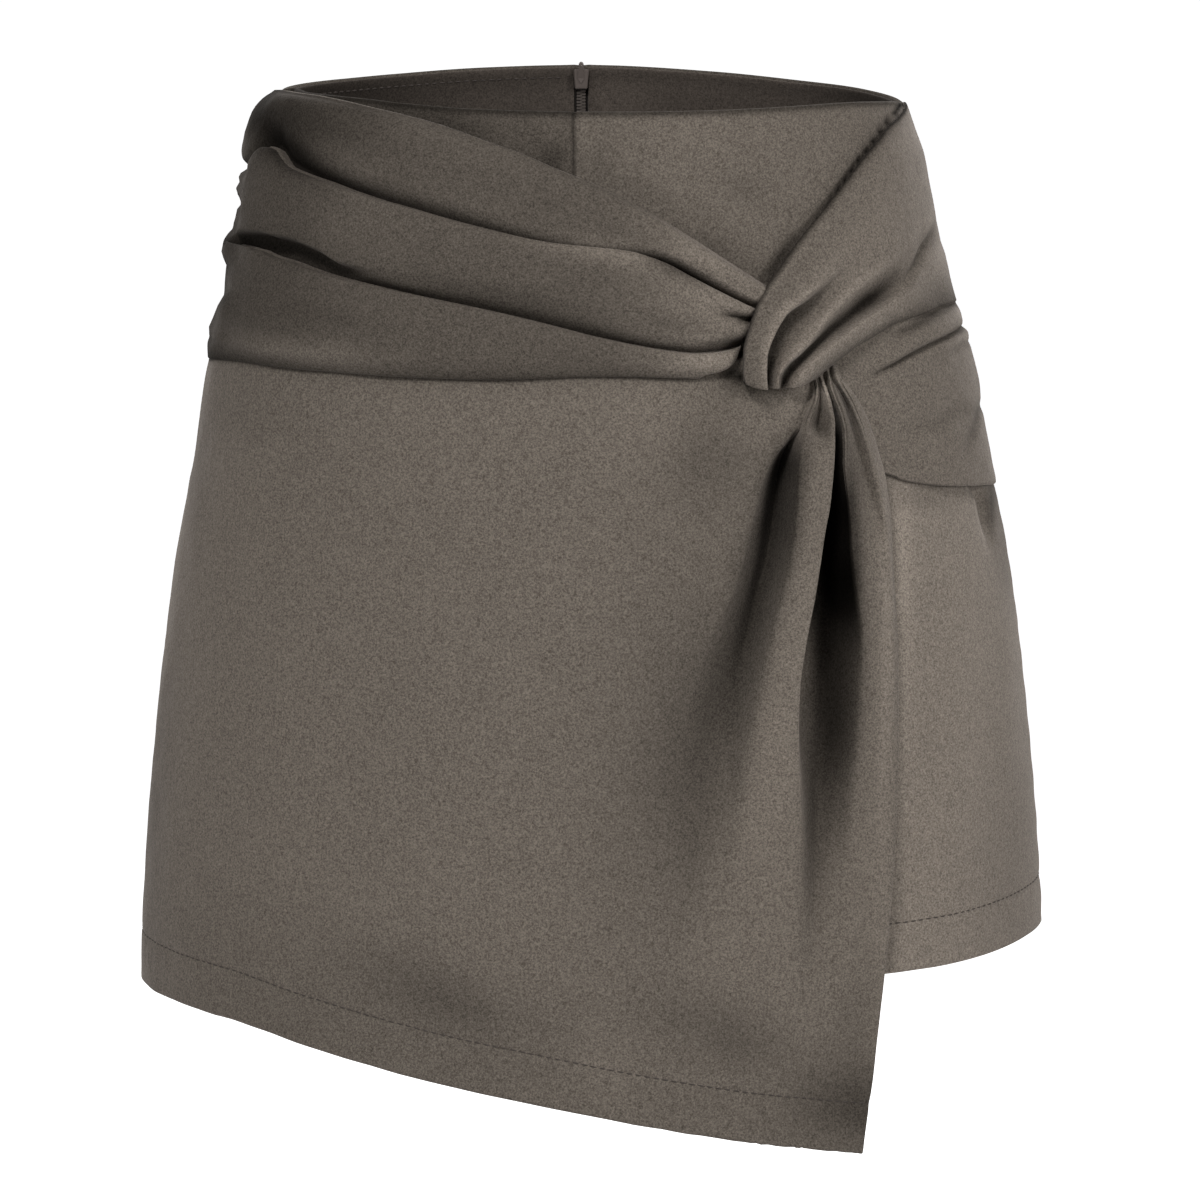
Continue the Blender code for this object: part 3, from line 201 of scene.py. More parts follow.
# Overlay panel: at each level, the angle and stand-off of its fold lines, from left to right: start of the folds,
# bottom of hollow 1, foot of the cone, pocket's left ridge, pocket, crown, sharp edge, bottom of hollow 2, ridge
# beside it, crease by the free edge, edge roll, free edge.
OVERLAY_GUIDES = (
    (-100.0, 34.1, 2.4, 34.5, 2.4, 34.7, 2.6, 34.8, 3.0, 35.4, 2.6, 35.6, 3.2, 36.0, 3.2, 36.8, 2.6, 37.2, 3.4, 37.9, 2.8, 38.4, 4.4, 39.2, 4.4),
    (-104.0, 34.1, 2.4, 34.5, 2.4, 34.7, 2.8, 34.8, 3.6, 35.4, 2.8, 35.6, 3.8, 36.0, 3.8, 36.8, 2.8, 37.2, 4.2, 37.9, 2.8, 38.4, 4.8, 39.2, 4.6),
    (-108.0, 34.1, 2.8, 34.5, 3.0, 34.7, 3.8, 34.8, 5.2, 35.4, 3.2, 35.6, 5.6, 36.0, 5.6, 36.8, 3.0, 37.1, 5.8, 38.0, 3.0, 38.4, 5.8, 39.4, 4.8),
    (-112.0, 34.0, 3.4, 34.4, 3.8, 34.4, 4.8, 34.5, 7.2, 35.5, 3.4, 35.6, 7.6, 36.0, 7.6, 37.3, 3.0, 36.9, 7.4, 38.8, 3.2, 38.8, 7.0, 40.5, 5.0),
    (-116.0, 33.3, 4.0, 33.8, 4.6, 33.8, 5.6, 33.8, 8.8, 35.5, 3.6, 35.6, 9.2, 36.1, 9.2, 37.9, 2.6, 37.0, 8.6, 39.6, 3.4, 39.4, 7.8, 41.5, 5.0),
    (-120.0, 32.2, 4.6, 32.7, 5.4, 32.7, 6.4, 32.6, 10.2, 35.3, 3.8, 35.4, 10.6, 36.0, 10.6, 38.3, 2.0, 37.3, 9.4, 40.1, 3.6, 39.9, 8.6, 42.4, 5.0),
    (-124.0, 31.1, 5.0, 31.7, 5.8, 31.5, 7.2, 31.6, 11.2, 34.8, 4.2, 35.4, 11.6, 35.9, 11.6, 38.5, 1.4, 37.5, 10.0, 40.4, 3.8, 40.3, 9.0, 43.0, 5.0),
    (-128.0, 30.0, 5.4, 31.1, 5.6, 30.7, 8.2, 31.0, 11.9, 34.0, 5.4, 35.0, 12.2, 35.6, 12.2, 38.5, 1.0, 37.6, 10.4, 40.6, 4.2, 40.7, 9.4, 43.6, 5.0),
    (-131.0, 29.1, 5.6, 30.6, 3.4, 30.5, 9.4, 31.3, 12.3, 33.3, 10.0, 34.8, 12.5, 35.4, 12.5, 38.5, 0.6, 37.6, 10.6, 40.7, 4.5, 40.9, 9.6, 43.8, 5.1),
    (-134.0, 28.1, 5.8, 30.2, 0.6, 30.1, 10.4, 31.5, 12.6, 32.8, 12.4, 34.5, 12.8, 35.2, 12.8, 38.6, 0.0, 37.7, 10.8, 40.8, 4.8, 41.2, 9.8, 44.1, 5.2),
    (-138.0, 26.5, 6.0, 29.8, -0.8, 29.6, 11.0, 31.5, 12.9, 32.6, 12.9, 34.1, 13.1, 34.9, 13.1, 38.6, -0.8, 37.8, 11.0, 40.9, 5.2, 41.5, 9.9, 44.4, 5.3),
    (-143.0, 25.3, 6.0, 29.2, -1.6, 29.2, 11.4, 31.3, 13.1, 32.4, 13.1, 33.7, 13.3, 34.5, 13.3, 38.6, -1.7, 37.8, 11.2, 41.1, 5.7, 41.8, 10.0, 44.7, 5.5),
    (-150.0, 24.1, 5.8, 28.2, -2.2, 28.8, 11.6, 31.0, 13.2, 32.1, 13.2, 33.2, 13.4, 33.9, 13.4, 38.4, -2.4, 37.8, 11.4, 41.3, 6.4, 42.1, 10.2, 45.0, 5.8),
    (-158.0, 23.1, 5.4, 27.3, -2.3, 28.4, 11.5, 30.5, 13.2, 31.5, 13.2, 32.5, 13.4, 33.2, 13.4, 38.0, -2.6, 37.8, 11.6, 41.7, 7.2, 42.4, 10.4, 44.9, 6.3),
    (-168.0, 21.9, 5.2, 25.9, -1.8, 27.8, 11.0, 29.9, 12.9, 30.7, 13.1, 31.5, 13.3, 32.1, 13.3, 37.4, -2.6, 37.7, 11.6, 41.8, 8.6, 42.5, 10.5, 44.5, 7.0),
    (-180.0, 20.7, 4.9, 24.3, -1.1, 26.9, 10.2, 28.8, 12.4, 29.6, 12.8, 30.4, 13.0, 31.0, 13.0, 36.6, -2.6, 37.6, 11.6, 41.2, 10.0, 42.3, 10.6, 43.9, 7.6),
    (-195.0, 18.5, 4.6, 21.7, -0.3, 25.4, 9.2, 27.6, 11.7, 28.3, 12.2, 29.1, 12.5, 29.7, 12.5, 35.9, -2.5, 37.6, 11.4, 40.7, 10.6, 41.9, 10.5, 43.5, 8.1),
    (-212.0, 15.4, 4.2, 19.3, 0.5, 23.7, 8.2, 26.2, 10.8, 26.9, 11.4, 27.6, 11.8, 28.2, 11.8, 35.0, -2.2, 37.1, 10.8, 40.3, 10.4, 41.6, 10.2, 43.1, 8.4),
    (-232.0, 13.1, 3.7, 16.9, 1.1, 22.1, 7.0, 24.9, 9.6, 25.8, 10.2, 26.4, 10.6, 27.0, 10.4, 33.5, -1.4, 36.2, 10.1, 39.8, 9.9, 41.2, 9.7, 42.5, 8.3),
    (-256.0, 11.2, 3.3, 14.8, 1.5, 20.6, 5.8, 23.8, 8.1, 25.1, 8.7, 25.9, 9.1, 26.6, 8.8, 32.1, 0.0, 35.3, 9.1, 39.2, 9.0, 40.6, 8.8, 41.8, 8.0),
    (-285.0, 8.5, 2.9, 13.1, 1.8, 19.1, 4.7, 22.6, 6.5, 24.1, 7.1, 25.4, 7.5, 26.6, 7.0, 30.6, 1.4, 34.3, 8.0, 38.5, 8.1, 39.8, 8.1, 40.9, 7.4),
    (-320.0, 6.6, 2.5, 11.9, 2.0, 17.6, 3.8, 21.2, 5.1, 22.8, 5.5, 24.8, 5.8, 26.3, 5.4, 29.2, 2.6, 33.1, 6.5, 37.7, 6.9, 38.7, 7.0, 39.5, 6.8),
    (-360.0, 5.5, 2.3, 11.2, 2.1, 16.6, 3.1, 20.2, 4.0, 21.9, 4.3, 24.0, 4.4, 25.8, 4.2, 28.3, 3.2, 31.9, 5.2, 36.1, 5.6, 37.0, 6.0, 37.7, 6.0),
    (-400.0, 4.7, 2.2, 10.6, 2.1, 16.1, 2.9, 19.6, 3.6, 21.2, 3.8, 23.4, 3.9, 25.3, 3.8, 27.3, 3.3, 30.9, 4.7, 34.6, 5.1, 35.3, 5.6, 35.9, 5.6),
    (-440.0, 4.3, 2.1, 10.2, 2.1, 15.8, 2.8, 19.3, 3.4, 20.8, 3.6, 23.1, 3.6, 25.0, 3.6, 26.9, 3.4, 29.4, 4.4, 32.6, 4.8, 33.1, 5.2, 33.7, 5.4),
)
OVERLAY_TOP = ((-90.0, -101.0), (-45.0, -99.0), (0.0, -98.0), (20.0, -99.0), (32.0, -101.0), (37.5, -104.0))
OVERLAY_HEM = ((-90.0, -371.5), (-76.3, -371.9), (-53.0, -373.8), (-36.2, -380.9), (-29.6, -384.7), (-16.5, -392.6), (-6.7, -398.4), (3.5, -405.2), (15.5, -412.9), (25.3, -418.2), (36.0, -423.4))
OVERLAY_PLAIN = ((0.0, 0.0), (0.1, 0.5), (0.3, 1.4), (0.6, 2.3), (1.0, 2.4))

LOWER_SASH_BOTTOM = ((36.0, -147.0), (45.9, -150.1), (48.7, -151.9), (53.1, -154.2), (59.3, -156.9), (73.6, -160.4), (81.1, -162.1), (89.9, -163.2))
LOWER_SASH_TOP = ((36.0, -98.0), (40.0, -94.0), (47.0, -88.0), (57.0, -83.0), (67.0, -81.0), (90.0, -81.0))
LOWER_SIDE = ((-78.0, 1.0), (-86.5, 1.6), (-94.9, 1.8), (-100.7, 2.5), (-108.2, 2.8), (-116.6, 3.0), (-129.2, 2.0), (-139.7, 1.7), (-152.3, 1.8), (-163.5, 1.8))

# Painted light and shade: soft patches where the cloth's colour is painted darker, as shade in hollows, creases and
# under the band, or lighter, as light: x, z of a patch's middle, its half sizes across and along (mm), its turn
# (degrees), and how much lighter (above 1) or darker it is painted.
OVERLAY_PAINTED_SPOTS = (
    (45, -135, 17, 19, 0, 0.74),
    (40, -247, 16, 50, -10, 0.70),
    (20, -275, 25, 88, -6, 0.88),
    (76.5, -143, 6.0, 13, -16, 0.24),
    (72.5, -165, 7.0, 20, -12, 0.36),
    (61, -180, 5, 16, -16, 0.72),
    (104, -368, 10, 22, -4, 0.82),
    (65.5, -196, 7.5, 24, -16, 0.66),
    (54, -226, 9.5, 27, -20, 0.75),
    (42, -292, 9, 36, -8, 0.80),
    (70, -256, 8, 40, -6, 1.14),
    (99.3, -160, 4.3, 20, 0, 0.25),
    (101, -190, 3.9, 24, -1, 0.21),
    (101, -222, 4.6, 26, -2, 0.34),
    (99.5, -250, 5.0, 26, -3, 0.38),
    (91, -281, 5.4, 46, -4, 0.44),
    (-142, -125, 22, 16, 0, 0.86),
    (60, -112, 14, 8, -10, 0.84),
    (28, -122, 14, 14, 0, 1.12),
    (115, -215, 3.6, 95, 0, 1.32),
    (108, -401, 27, 15, -8, 0.55),
    (112, -413, 26, 14, -8, 0.78),
    (-60, -356, 34, 12, -20, 0.72),
    (46, -364, 26, 12, -12, 0.80),
    (80, -237, 6, 63, -3, 1.08),
    (-184, -294, 9, 92, -5, 0.58),
    (-164, -145, 8, 45, -8, 0.66),
    (61, -376, 18, 9, -10, 0.80),
    (-117, -270, 40, 84, -5, 1.05),
    (88, -113, 9, 4.5, 0, 1.65),
    (89.3, -126.5, 2.8, 5.5, 8, 0.42),
    (58.5, -106.0, 6.4, 3.0, -22, 0.0),
    (6, -385, 15, 17, 0, 1.14),
)
# painted light and shade on the wrap band, as above
BAND_PAINTED_SPOTS = (
    (-116, -19, 16, 7, -36, 0.25),
    (-92, 0, 14, 5, -12, 0.74),
    (-128, -9, 20, 12, -20, 0.48),
    (-108, -6, 27, 9, -12, 0.54),
    (8, -55, 28, 4.6, -8, 1.75),
    (32, -60, 18, 4, -24, 0.45),
    (-112, -59, 20, 5, -14, 0.74),
    (-35, -71, 45, 4, -9, 0.80),
    (54, -90.5, 9, 2.6, 10, 0.50),
    (34, -84.0, 15, 4.2, -6, 0.70),
    (34, -62.5, 13, 3.6, -30, 0.72),
    (-144, -64, 5, 50, -15, 0.60),
    (48, -99, 20, 3.2, 5, 1.25),
    (-117, -100, 32, 6, -4, 1.80),
    (44, -67, 25, 6, -28, 1.12),
    (-85, -45, 16, 10, -10, 1.16),
    (-143.5, -84.4, 4.0, 1.8, -8, 0.30),
    (-138.4, -46.6, 2.5, 2.2, 0, 0.45),
    (-100, -84, 12, 3.0, -10, 0.82),
)
# Painted shade across the band: a colour factor by x, darkest at the left side seam and lighter towards the knot.
BAND_PAINTED_SHADING = ((-168.0, 0.13), (-160.0, 0.18), (-150.0, 0.29), (-137.0, 0.40), (-115.0, 0.50), (-95.0, 0.64), (-60.0, 0.65), (0.0, 0.64), (22.0, 0.80), (45.0, 1.15), (65.0, 1.05))
# Painted light and shade on the shorts' front panels, as above.
LEFT_PANEL_PAINTED_SPOTS = (
    (-64, -8, 34, 7, -8, 0.60),
    (-36, -13, 12, 5, -8, 1.18),
    (-15, -19, 5, 7, -20, 0.60),
    (-15, -7, 5, 8, 0, 1.15),
)
RIGHT_PANEL_PAINTED_SPOTS = (
    (3, -17, 12, 14, 0, 0.82),
    (130, -270, 60, 120, 0, 0.94),
    (62, -32, 12, 6, -15, 0.84),
    (52, -55, 14, 5, -28, 0.74),
    (76, -61, 3.2, 13, -34, 0.40),
    (171, -186, 6, 26, 6, 0.66),
    (20, -31, 29, 5, -24, 0.80),
    (126, -225, 5, 100, -1, 1.34),
    (171, -315, 17, 38, -4, 0.90),
    (166, -171, 2.5, 10, 0, 0.40),
    (139, -162, 21, 4, -6, 0.85),
)
# The line beside the sash's rolled edge, down to the cloth just below the knot: a shallow groove, with a painted shadow
# along it.
SASH_GAP = ((128.8, -4.8), (122.2, -9.9), (115.0, -17.5), (107.6, -26.0), (100.3, -36.1), (92.2, -47.5), (85.3, -57.2), (78.4, -65.9), (73.1, -72.5), (69.8, -78.0), (67.3, -86.0))


# ---------------------------------------------------------------- curves and the form
def smoothstep(x, low, high):
    t = np.clip((np.asarray(x, float) - low) / (high - low), 0.0, 1.0)
    return t * t * (3.0 - 2.0 * t)


def hermite(x, xs, ys):
    xs, ys, x = np.asarray(xs, float), np.asarray(ys, float), np.asarray(x, float)
    if xs[0] > xs[-1]:
        xs, ys = xs[::-1], ys[::-1]
    step = np.diff(xs)
    slope = np.diff(ys, axis=0) / step.reshape((-1,) + (1,) * (ys.ndim - 1))
    w = step.reshape((-1,) + (1,) * (ys.ndim - 1))
    tangent = np.zeros_like(ys)
    tangent[0], tangent[-1] = slope[0], slope[-1]
    same = slope[:-1] * slope[1:] > 0
    w1, w2 = 2 * w[1:] + w[:-1], w[1:] + 2 * w[:-1]
    safe0, safe1 = np.where(same, slope[:-1], 1.0), np.where(same, slope[1:], 1.0)
    tangent[1:-1] = np.where(same, (w1 + w2) / (w1 / safe0 + w2 / safe1), 0.0)
    at = np.clip(np.searchsorted(xs, x, side="right") - 1, 0, len(step) - 1)
    t = np.clip((x - xs[at]) / step[at], 0.0, 1.0)
    h = step[at]
    if ys.ndim > 1:
        t, h = t[..., None], h[..., None]
    return (
        ys[at] * (1 + 2 * t) * (1 - t) ** 2
        + tangent[at] * h * t * (1 - t) ** 2
        + ys[at + 1] * t * t * (3 - 2 * t)
        + tangent[at + 1] * h * t * t * (t - 1)
    )


def column(table, k, x, key=0):
    return hermite(x, [row[key] for row in table], [row[k] for row in table])


def across(q, v):
    """Each row of v holds values at 0, 1, 2, ...: its smooth value at that row's q, with no overshoot."""
    d = np.diff(v, axis=1)
    m = np.zeros_like(v)
    same = d[:, :-1] * d[:, 1:] > 0
    total = np.where(same, d[:, :-1] + d[:, 1:], 1.0)
    m[:, 1:-1] = np.where(same, 2 * d[:, :-1] * d[:, 1:] / total, 0.0)
    m[:, 0], m[:, -1] = d[:, 0], d[:, -1]
    i = np.clip(np.floor(q).astype(int), 0, v.shape[1] - 2)
    t = q - i
    n = np.arange(len(v))
    return (
        v[n, i] * (1 + 2 * t) * (1 - t) ** 2
        + m[n, i] * t * (1 - t) ** 2
        + v[n, i + 1] * t * t * (3 - 2 * t)
        + m[n, i + 1] * t * t * (t - 1)
    )


def on_form(deg, z, h, side=-1):
    deg, z, h = np.broadcast_arrays(np.asarray(deg, float), np.asarray(z, float), np.asarray(h, float))
    half_w, depth, power = column(FORM, 1, z), column(FORM, 2 if side < 0 else 3, z), column(FORM, 4, z)
    turn = np.radians(deg)
    a, d = np.sin(turn), np.maximum(np.cos(turn), 0.0)
    x, y = half_w * a, side * depth * d**power
    nx, ny = depth * power * np.maximum(d, 0.02) ** (power - 1) * a, side * half_w * d
    size = np.hypot(nx, ny)
    return np.stack([x + h * nx / size, y + h * ny / size, z], -1)


def unit(v):
    return v / np.maximum(np.linalg.norm(v, axis=-1, keepdims=True), 1e-9)


def grid_normals(points, outward):
    n = unit(np.cross(np.gradient(points, axis=0), np.gradient(points, axis=1)))
    return n if (n * outward).sum() > 0 else -n


def blur(grid, times):
    g = grid.copy()
    for _ in range(times):
        p = np.pad(g, ((1, 1), (1, 1), (0, 0)), mode="edge")
        g = (p[:-2, 1:-1] + p[2:, 1:-1] + p[1:-1, :-2] + p[1:-1, 2:] + 2 * p[1:-1, 1:-1]) / 6
    return g


def line_distance(px, pz, line):
    """Distance from each point to a polyline in the front view, the share along it, and the side (above is +)."""
    line = np.asarray(line, float)[:, :2]
    best = np.full(px.shape, 1e9)
    share, sign = np.zeros(px.shape), np.ones(px.shape)
    lengths = np.hypot(*np.diff(line, axis=0).T)
    total, run = lengths.sum(), 0.0
    for (ax, az), (bx, bz), length in zip(line[:-1], line[1:], lengths):
        dx, dz = bx - ax, bz - az
        t = np.clip(((px - ax) * dx + (pz - az) * dz) / (length * length), 0, 1)
        ex, ez = px - ax - t * dx, pz - az - t * dz
        d = np.hypot(ex, ez)
        near = d < best
        best = np.where(near, d, best)
        share = np.where(near, (run + t * length) / total, share)
        side = np.sign(dx * (pz - az) - dz * (px - ax)) * (1 if dx >= 0 else -1)
        sign = np.where(near, side, sign)
        run += length
    return best, share, sign


def trough(px, pz, line, width, depth, ends=(0.25, 0.25), below=None):
    """A soft crease (depth > 0) or ridge (depth < 0) along a line, fading to its ends. below: its width on its lower side."""
    d, share, sign = line_distance(px, pz, line)
    w = np.where(sign >= 0, width, width if below is None else below)
    fade = np.minimum(1.0, share / max(ends[0], 1e-6)) * np.minimum(1.0, (1 - share) / max(ends[1], 1e-6))
    fade = fade * fade * (3 - 2 * fade)
    beyond = np.where((share <= 0) | (share >= 1), np.exp(-((d / np.maximum(w, 1e-6)) ** 2)), 1.0)
    return -depth * np.exp(-((d / w) ** 2)) * fade * beyond


def waves(deg, z, seed, sizes):
    """A little unevenness: a few slow waves across the cloth. sizes: (amplitude mm, cycles per degree, per mm)."""
    rng = np.random.default_rng(seed)
    total = np.zeros(np.broadcast(deg, z).shape)
    for amp, fd, fz in sizes:
        a, b, c = rng.uniform(0, 6.28, 3)
        total += amp * np.sin(deg * fd * 6.28 + a + 1.3 * np.sin(z * fz * 6.28 + b)) * np.cos(z * fz * 4.1 + c)
    return total


# ---------------------------------------------------------------- meshes
def mesh_object(name, verts, faces, material, smooth=True):
    mesh = bpy.data.meshes.new(name)
    mesh.from_pydata((np.asarray(verts) * 0.001).tolist(), [], [tuple(f) for f in np.asarray(faces).tolist()] if not isinstance(faces, list) else faces)
    mesh.validate()
    mesh.update()
    obj = bpy.data.objects.new(name, mesh)
    bpy.context.scene.collection.objects.link(obj)
    mesh.materials.append(material)
    if smooth:
        mesh.shade_smooth()
    return obj


def shell(name, outer, inner, material, painted_shading=None, both=False):
    """A closed wall between two grids, with rounded rims, painted with the light and shade given for each point of the
    grid.
    both: the inner side gets the same painted shading, a little darker; otherwise it is painted a flat, darker shade."""
    rows, cols = outer.shape[:2]
    index = np.arange(rows * cols).reshape(rows, cols)

    def quads(g, turn):
        q = np.stack([g[:-1, :-1], g[:-1, 1:], g[1:, 1:], g[1:, :-1]], -1).reshape(-1, 4)
        return q[:, ::-1] if turn else q

    out = np.zeros_like(outer)
    out[0] += unit(outer[0] - outer[1])
    out[-1] += unit(outer[-1] - outer[-2])
    out[:, 0] += unit(outer[:, 0] - outer[:, 1])
    out[:, -1] += unit(outer[:, -1] - outer[:, -2])
    thick = np.linalg.norm(outer - inner, axis=-1, keepdims=True)
    mid = (outer + inner) / 2 + unit(out) * np.minimum(thick, 1.6) * 0.45
    loop = np.concatenate([index[0, :-1], index[:-1, -1], index[-1, :0:-1], index[:0:-1, 0]])
    n, count = rows * cols, len(loop)
    m = 2 * n + np.arange(count)
    o, i = loop, loop + n
    o2, i2, m2 = np.roll(o, -1), np.roll(i, -1), np.roll(m, -1)
    faces = np.concatenate([quads(index, False), quads(index + n, True), np.stack([o2, o, m, m2], -1), np.stack([m2, m, i, i2], -1)])
    verts = np.concatenate([outer.reshape(-1, 3), inner.reshape(-1, 3), mid.reshape(-1, 3)[loop]])
    a, b, c, d = (verts[faces[:, k]] for k in range(4))
    volume = (np.cross(b, c) * a).sum() + (np.cross(c, d) * a).sum()
    if volume < 0:
        faces = faces[:, ::-1]
    obj = mesh_object(name, verts, faces, material)
    # the painted light and shade goes into a point attribute that the cloth material multiplies into its colour, sheen
    # and specular; the inner side is painted darker as shade
    painted_shading = np.ones((rows, cols)) if painted_shading is None else painted_shading
    behind = painted_shading.reshape(-1) * 0.85 if both else np.full(painted_shading.size, 0.62)
    values = np.concatenate([painted_shading.reshape(-1), behind, painted_shading.reshape(-1)[loop]])
    obj.data.attributes.new("painted_light_shade", "FLOAT", "POINT").data.foreach_set("value", values.astype(np.float32))
    return obj


def painted_spots(px, pz, spots):
    """Painted light and shade: soft patches where the colour is painted darker or lighter: x, z of the middle, its two
    half sizes, turn, factor.
    """
    painted_shading = np.ones(px.shape)
    for cx, cz, rx, rz, turn, factor in spots:
        c, s = math.cos(math.radians(turn)), math.sin(math.radians(turn))
        dx, dz = px - cx, pz - cz
        u, v = (dx * c + dz * s) / rx, (-dx * s + dz * c) / rz
        painted_shading *= 1 + (factor - 1) * np.exp(-(u * u + v * v))
    return painted_shading


def stitch_row(points, normals, length=2.6, gap=1.1, radius=0.32, lift=0.12):
    """Vertices and faces of small stitches that run along a line of points, sunk a little in the cloth."""
    points, normals = np.asarray(points, float), np.asarray(normals, float)
    seg = np.linalg.norm(np.diff(points, axis=0), axis=1)
    run = np.concatenate([[0], np.cumsum(seg)])
    verts, faces = [], []
    starts = np.arange(0.5, run[-1] - length, length + gap)
    for s in starts:
        at = np.array([s, s + length * 0.5, s + length])
        p = np.stack([np.interp(at, run, points[:, k]) for k in range(3)], 1)
        n = unit(np.stack([np.interp(at, run, normals[:, k]) for k in range(3)], 1))
        p = p + n * np.array([-0.12, lift, -0.12])[:, None]
        t = unit(p[2] - p[0])
        base = len(verts)
        for k, r in ((0, radius * 0.6), (1, radius), (2, radius * 0.6)):
            b = unit(np.cross(t, n[k]))
            for ang in range(5):
                w = 2 * math.pi * ang / 5
                verts.append(p[k] + r * (math.cos(w) * n[k] + math.sin(w) * b))
        for k in range(2):
            for ang in range(5):
                a0, a1 = base + k * 5 + ang, base + k * 5 + (ang + 1) % 5
                faces.append((a0, a1, a1 + 5, a0 + 5))
        faces.append(tuple(base + ang for ang in range(4, -1, -1)))
        faces.append(tuple(base + 10 + ang for ang in range(5)))
    return verts, faces


def stitches(name, rows, material):
    verts, faces = [], []
    for row in rows:
        v, f = stitch_row(**row)
        base = len(verts)
        verts += v
        faces += [tuple(k + base for k in face) for face in f]
    return mesh_object(name, np.array(verts), faces, material)


# ---------------------------------------------------------------- materials
def node(tree, kind, **inputs):
    n = tree.nodes.new(kind)
    for key, value in inputs.items():
        n.inputs[key.replace("_", " ")].default_value = value
    return n


def suede(name, dark, light, bump=1.0, sheen=0.30):
    """Brushed suede cloth: a fine grain, soft cloudy patches where the pile lies differently, and a faint sheen; its
    colour, sheen and specular are scaled by the painted light and shade that each mesh carries.
    """
    material = bpy.data.materials.new(name)
    material.use_nodes = True
    tree = material.node_tree
    shader = tree.nodes["Principled BSDF"]
    shader.inputs["Roughness"].default_value = 0.92
    shader.inputs["Sheen Roughness"].default_value = 0.45
    shader.inputs["Sheen Tint"].default_value = (0.78, 0.70, 0.64, 1.0)
    link = tree.links.new
    place = tree.nodes.new("ShaderNodeTexCoord").outputs["Object"]
    grain = node(tree, "ShaderNodeTexNoise", Scale=1250.0, Detail=2.5, Roughness=0.8)
    fleck = node(tree, "ShaderNodeTexNoise", Scale=430.0, Detail=2.0, Roughness=0.6)
    cloud = node(tree, "ShaderNodeTexNoise", Scale=75.0, Detail=4.0, Roughness=0.62, Distortion=0.4)
    patch = node(tree, "ShaderNodeTexNoise", Scale=15.0, Detail=2.0, Roughness=0.5)
    for n in (grain, fleck, cloud, patch):
        link(place, n.inputs["Vector"])

    def math_node(operation, a, b, clamp=False):
        m = tree.nodes.new("ShaderNodeMath")
        m.operation, m.use_clamp = operation, clamp
        for k, value in enumerate((a, b)):
            if isinstance(value, float):
                m.inputs[k].default_value = value
            else:
                link(value, m.inputs[k])
        return m.outputs[0]

    total = math_node("MULTIPLY", grain.outputs["Fac"], 2.8)
    total = math_node("ADD", total, math_node("MULTIPLY", fleck.outputs["Fac"], 0.55))
    total = math_node("ADD", total, math_node("MULTIPLY", cloud.outputs["Fac"], 0.16))
    total = math_node("ADD", total, math_node("MULTIPLY", patch.outputs["Fac"], 0.12))
    total = math_node("SUBTRACT", total, 1.315, clamp=True)
    mix = tree.nodes.new("ShaderNodeMix")
    mix.data_type = "RGBA"
    mix.inputs["A"].default_value, mix.inputs["B"].default_value = dark, light
    link(total, mix.inputs["Factor"])
    # painted light and shade: the mesh attribute multiplies the colour, and scales the sheen and the specular
    painted_shading = tree.nodes.new("ShaderNodeAttribute")
    painted_shading.attribute_name = "painted_light_shade"
    grade = tree.nodes.new("ShaderNodeMix")
    grade.data_type, grade.blend_type = "RGBA", "MULTIPLY"
    grade.inputs["Factor"].default_value = 1.0
    link(mix.outputs["Result"], grade.inputs["A"])
    link(painted_shading.outputs["Fac"], grade.inputs["B"])
    link(math_node("MULTIPLY", painted_shading.outputs["Fac"], sheen), shader.inputs["Sheen Weight"])
    link(math_node("MULTIPLY", painted_shading.outputs["Fac"], 0.18), shader.inputs["Specular IOR Level"])
    link(grade.outputs["Result"], shader.inputs["Base Color"])
    fluff = math_node("ADD", math_node("MULTIPLY", grain.outputs["Fac"], 0.6), math_node("MULTIPLY", fleck.outputs["Fac"], 0.8))
    fine = node(tree, "ShaderNodeBump", Strength=0.6 * bump, Distance=0.0006)
    link(fluff, fine.inputs["Height"])
    soft = node(tree, "ShaderNodeBump", Strength=0.18 * bump, Distance=0.0012)
    link(cloud.outputs["Fac"], soft.inputs["Height"])
    link(fine.outputs["Normal"], soft.inputs["Normal"])
    link(soft.outputs["Normal"], shader.inputs["Normal"])
    return material


def plain(name, colour, roughness, metallic=0.0, specular=0.4, grain=0.0):
    material = bpy.data.materials.new(name)
    material.use_nodes = True
    tree = material.node_tree
    shader = tree.nodes["Principled BSDF"]
    shader.inputs["Base Color"].default_value = colour
    shader.inputs["Roughness"].default_value = roughness
    shader.inputs["Metallic"].default_value = metallic
    shader.inputs["Specular IOR Level"].default_value = specular
    if grain:
        place = tree.nodes.new("ShaderNodeTexCoord").outputs["Object"]
        noise = node(tree, "ShaderNodeTexNoise", Scale=grain, Detail=2.0)
        tree.links.new(place, noise.inputs["Vector"])
        bump = node(tree, "ShaderNodeBump", Strength=0.4, Distance=0.0003)
        tree.links.new(noise.outputs["Fac"], bump.inputs["Height"])
        tree.links.new(bump.outputs["Normal"], shader.inputs["Normal"])
    return material


CLOTH = suede("suede_outer", (0.072, 0.060, 0.049, 1), (0.225, 0.195, 0.163, 1))
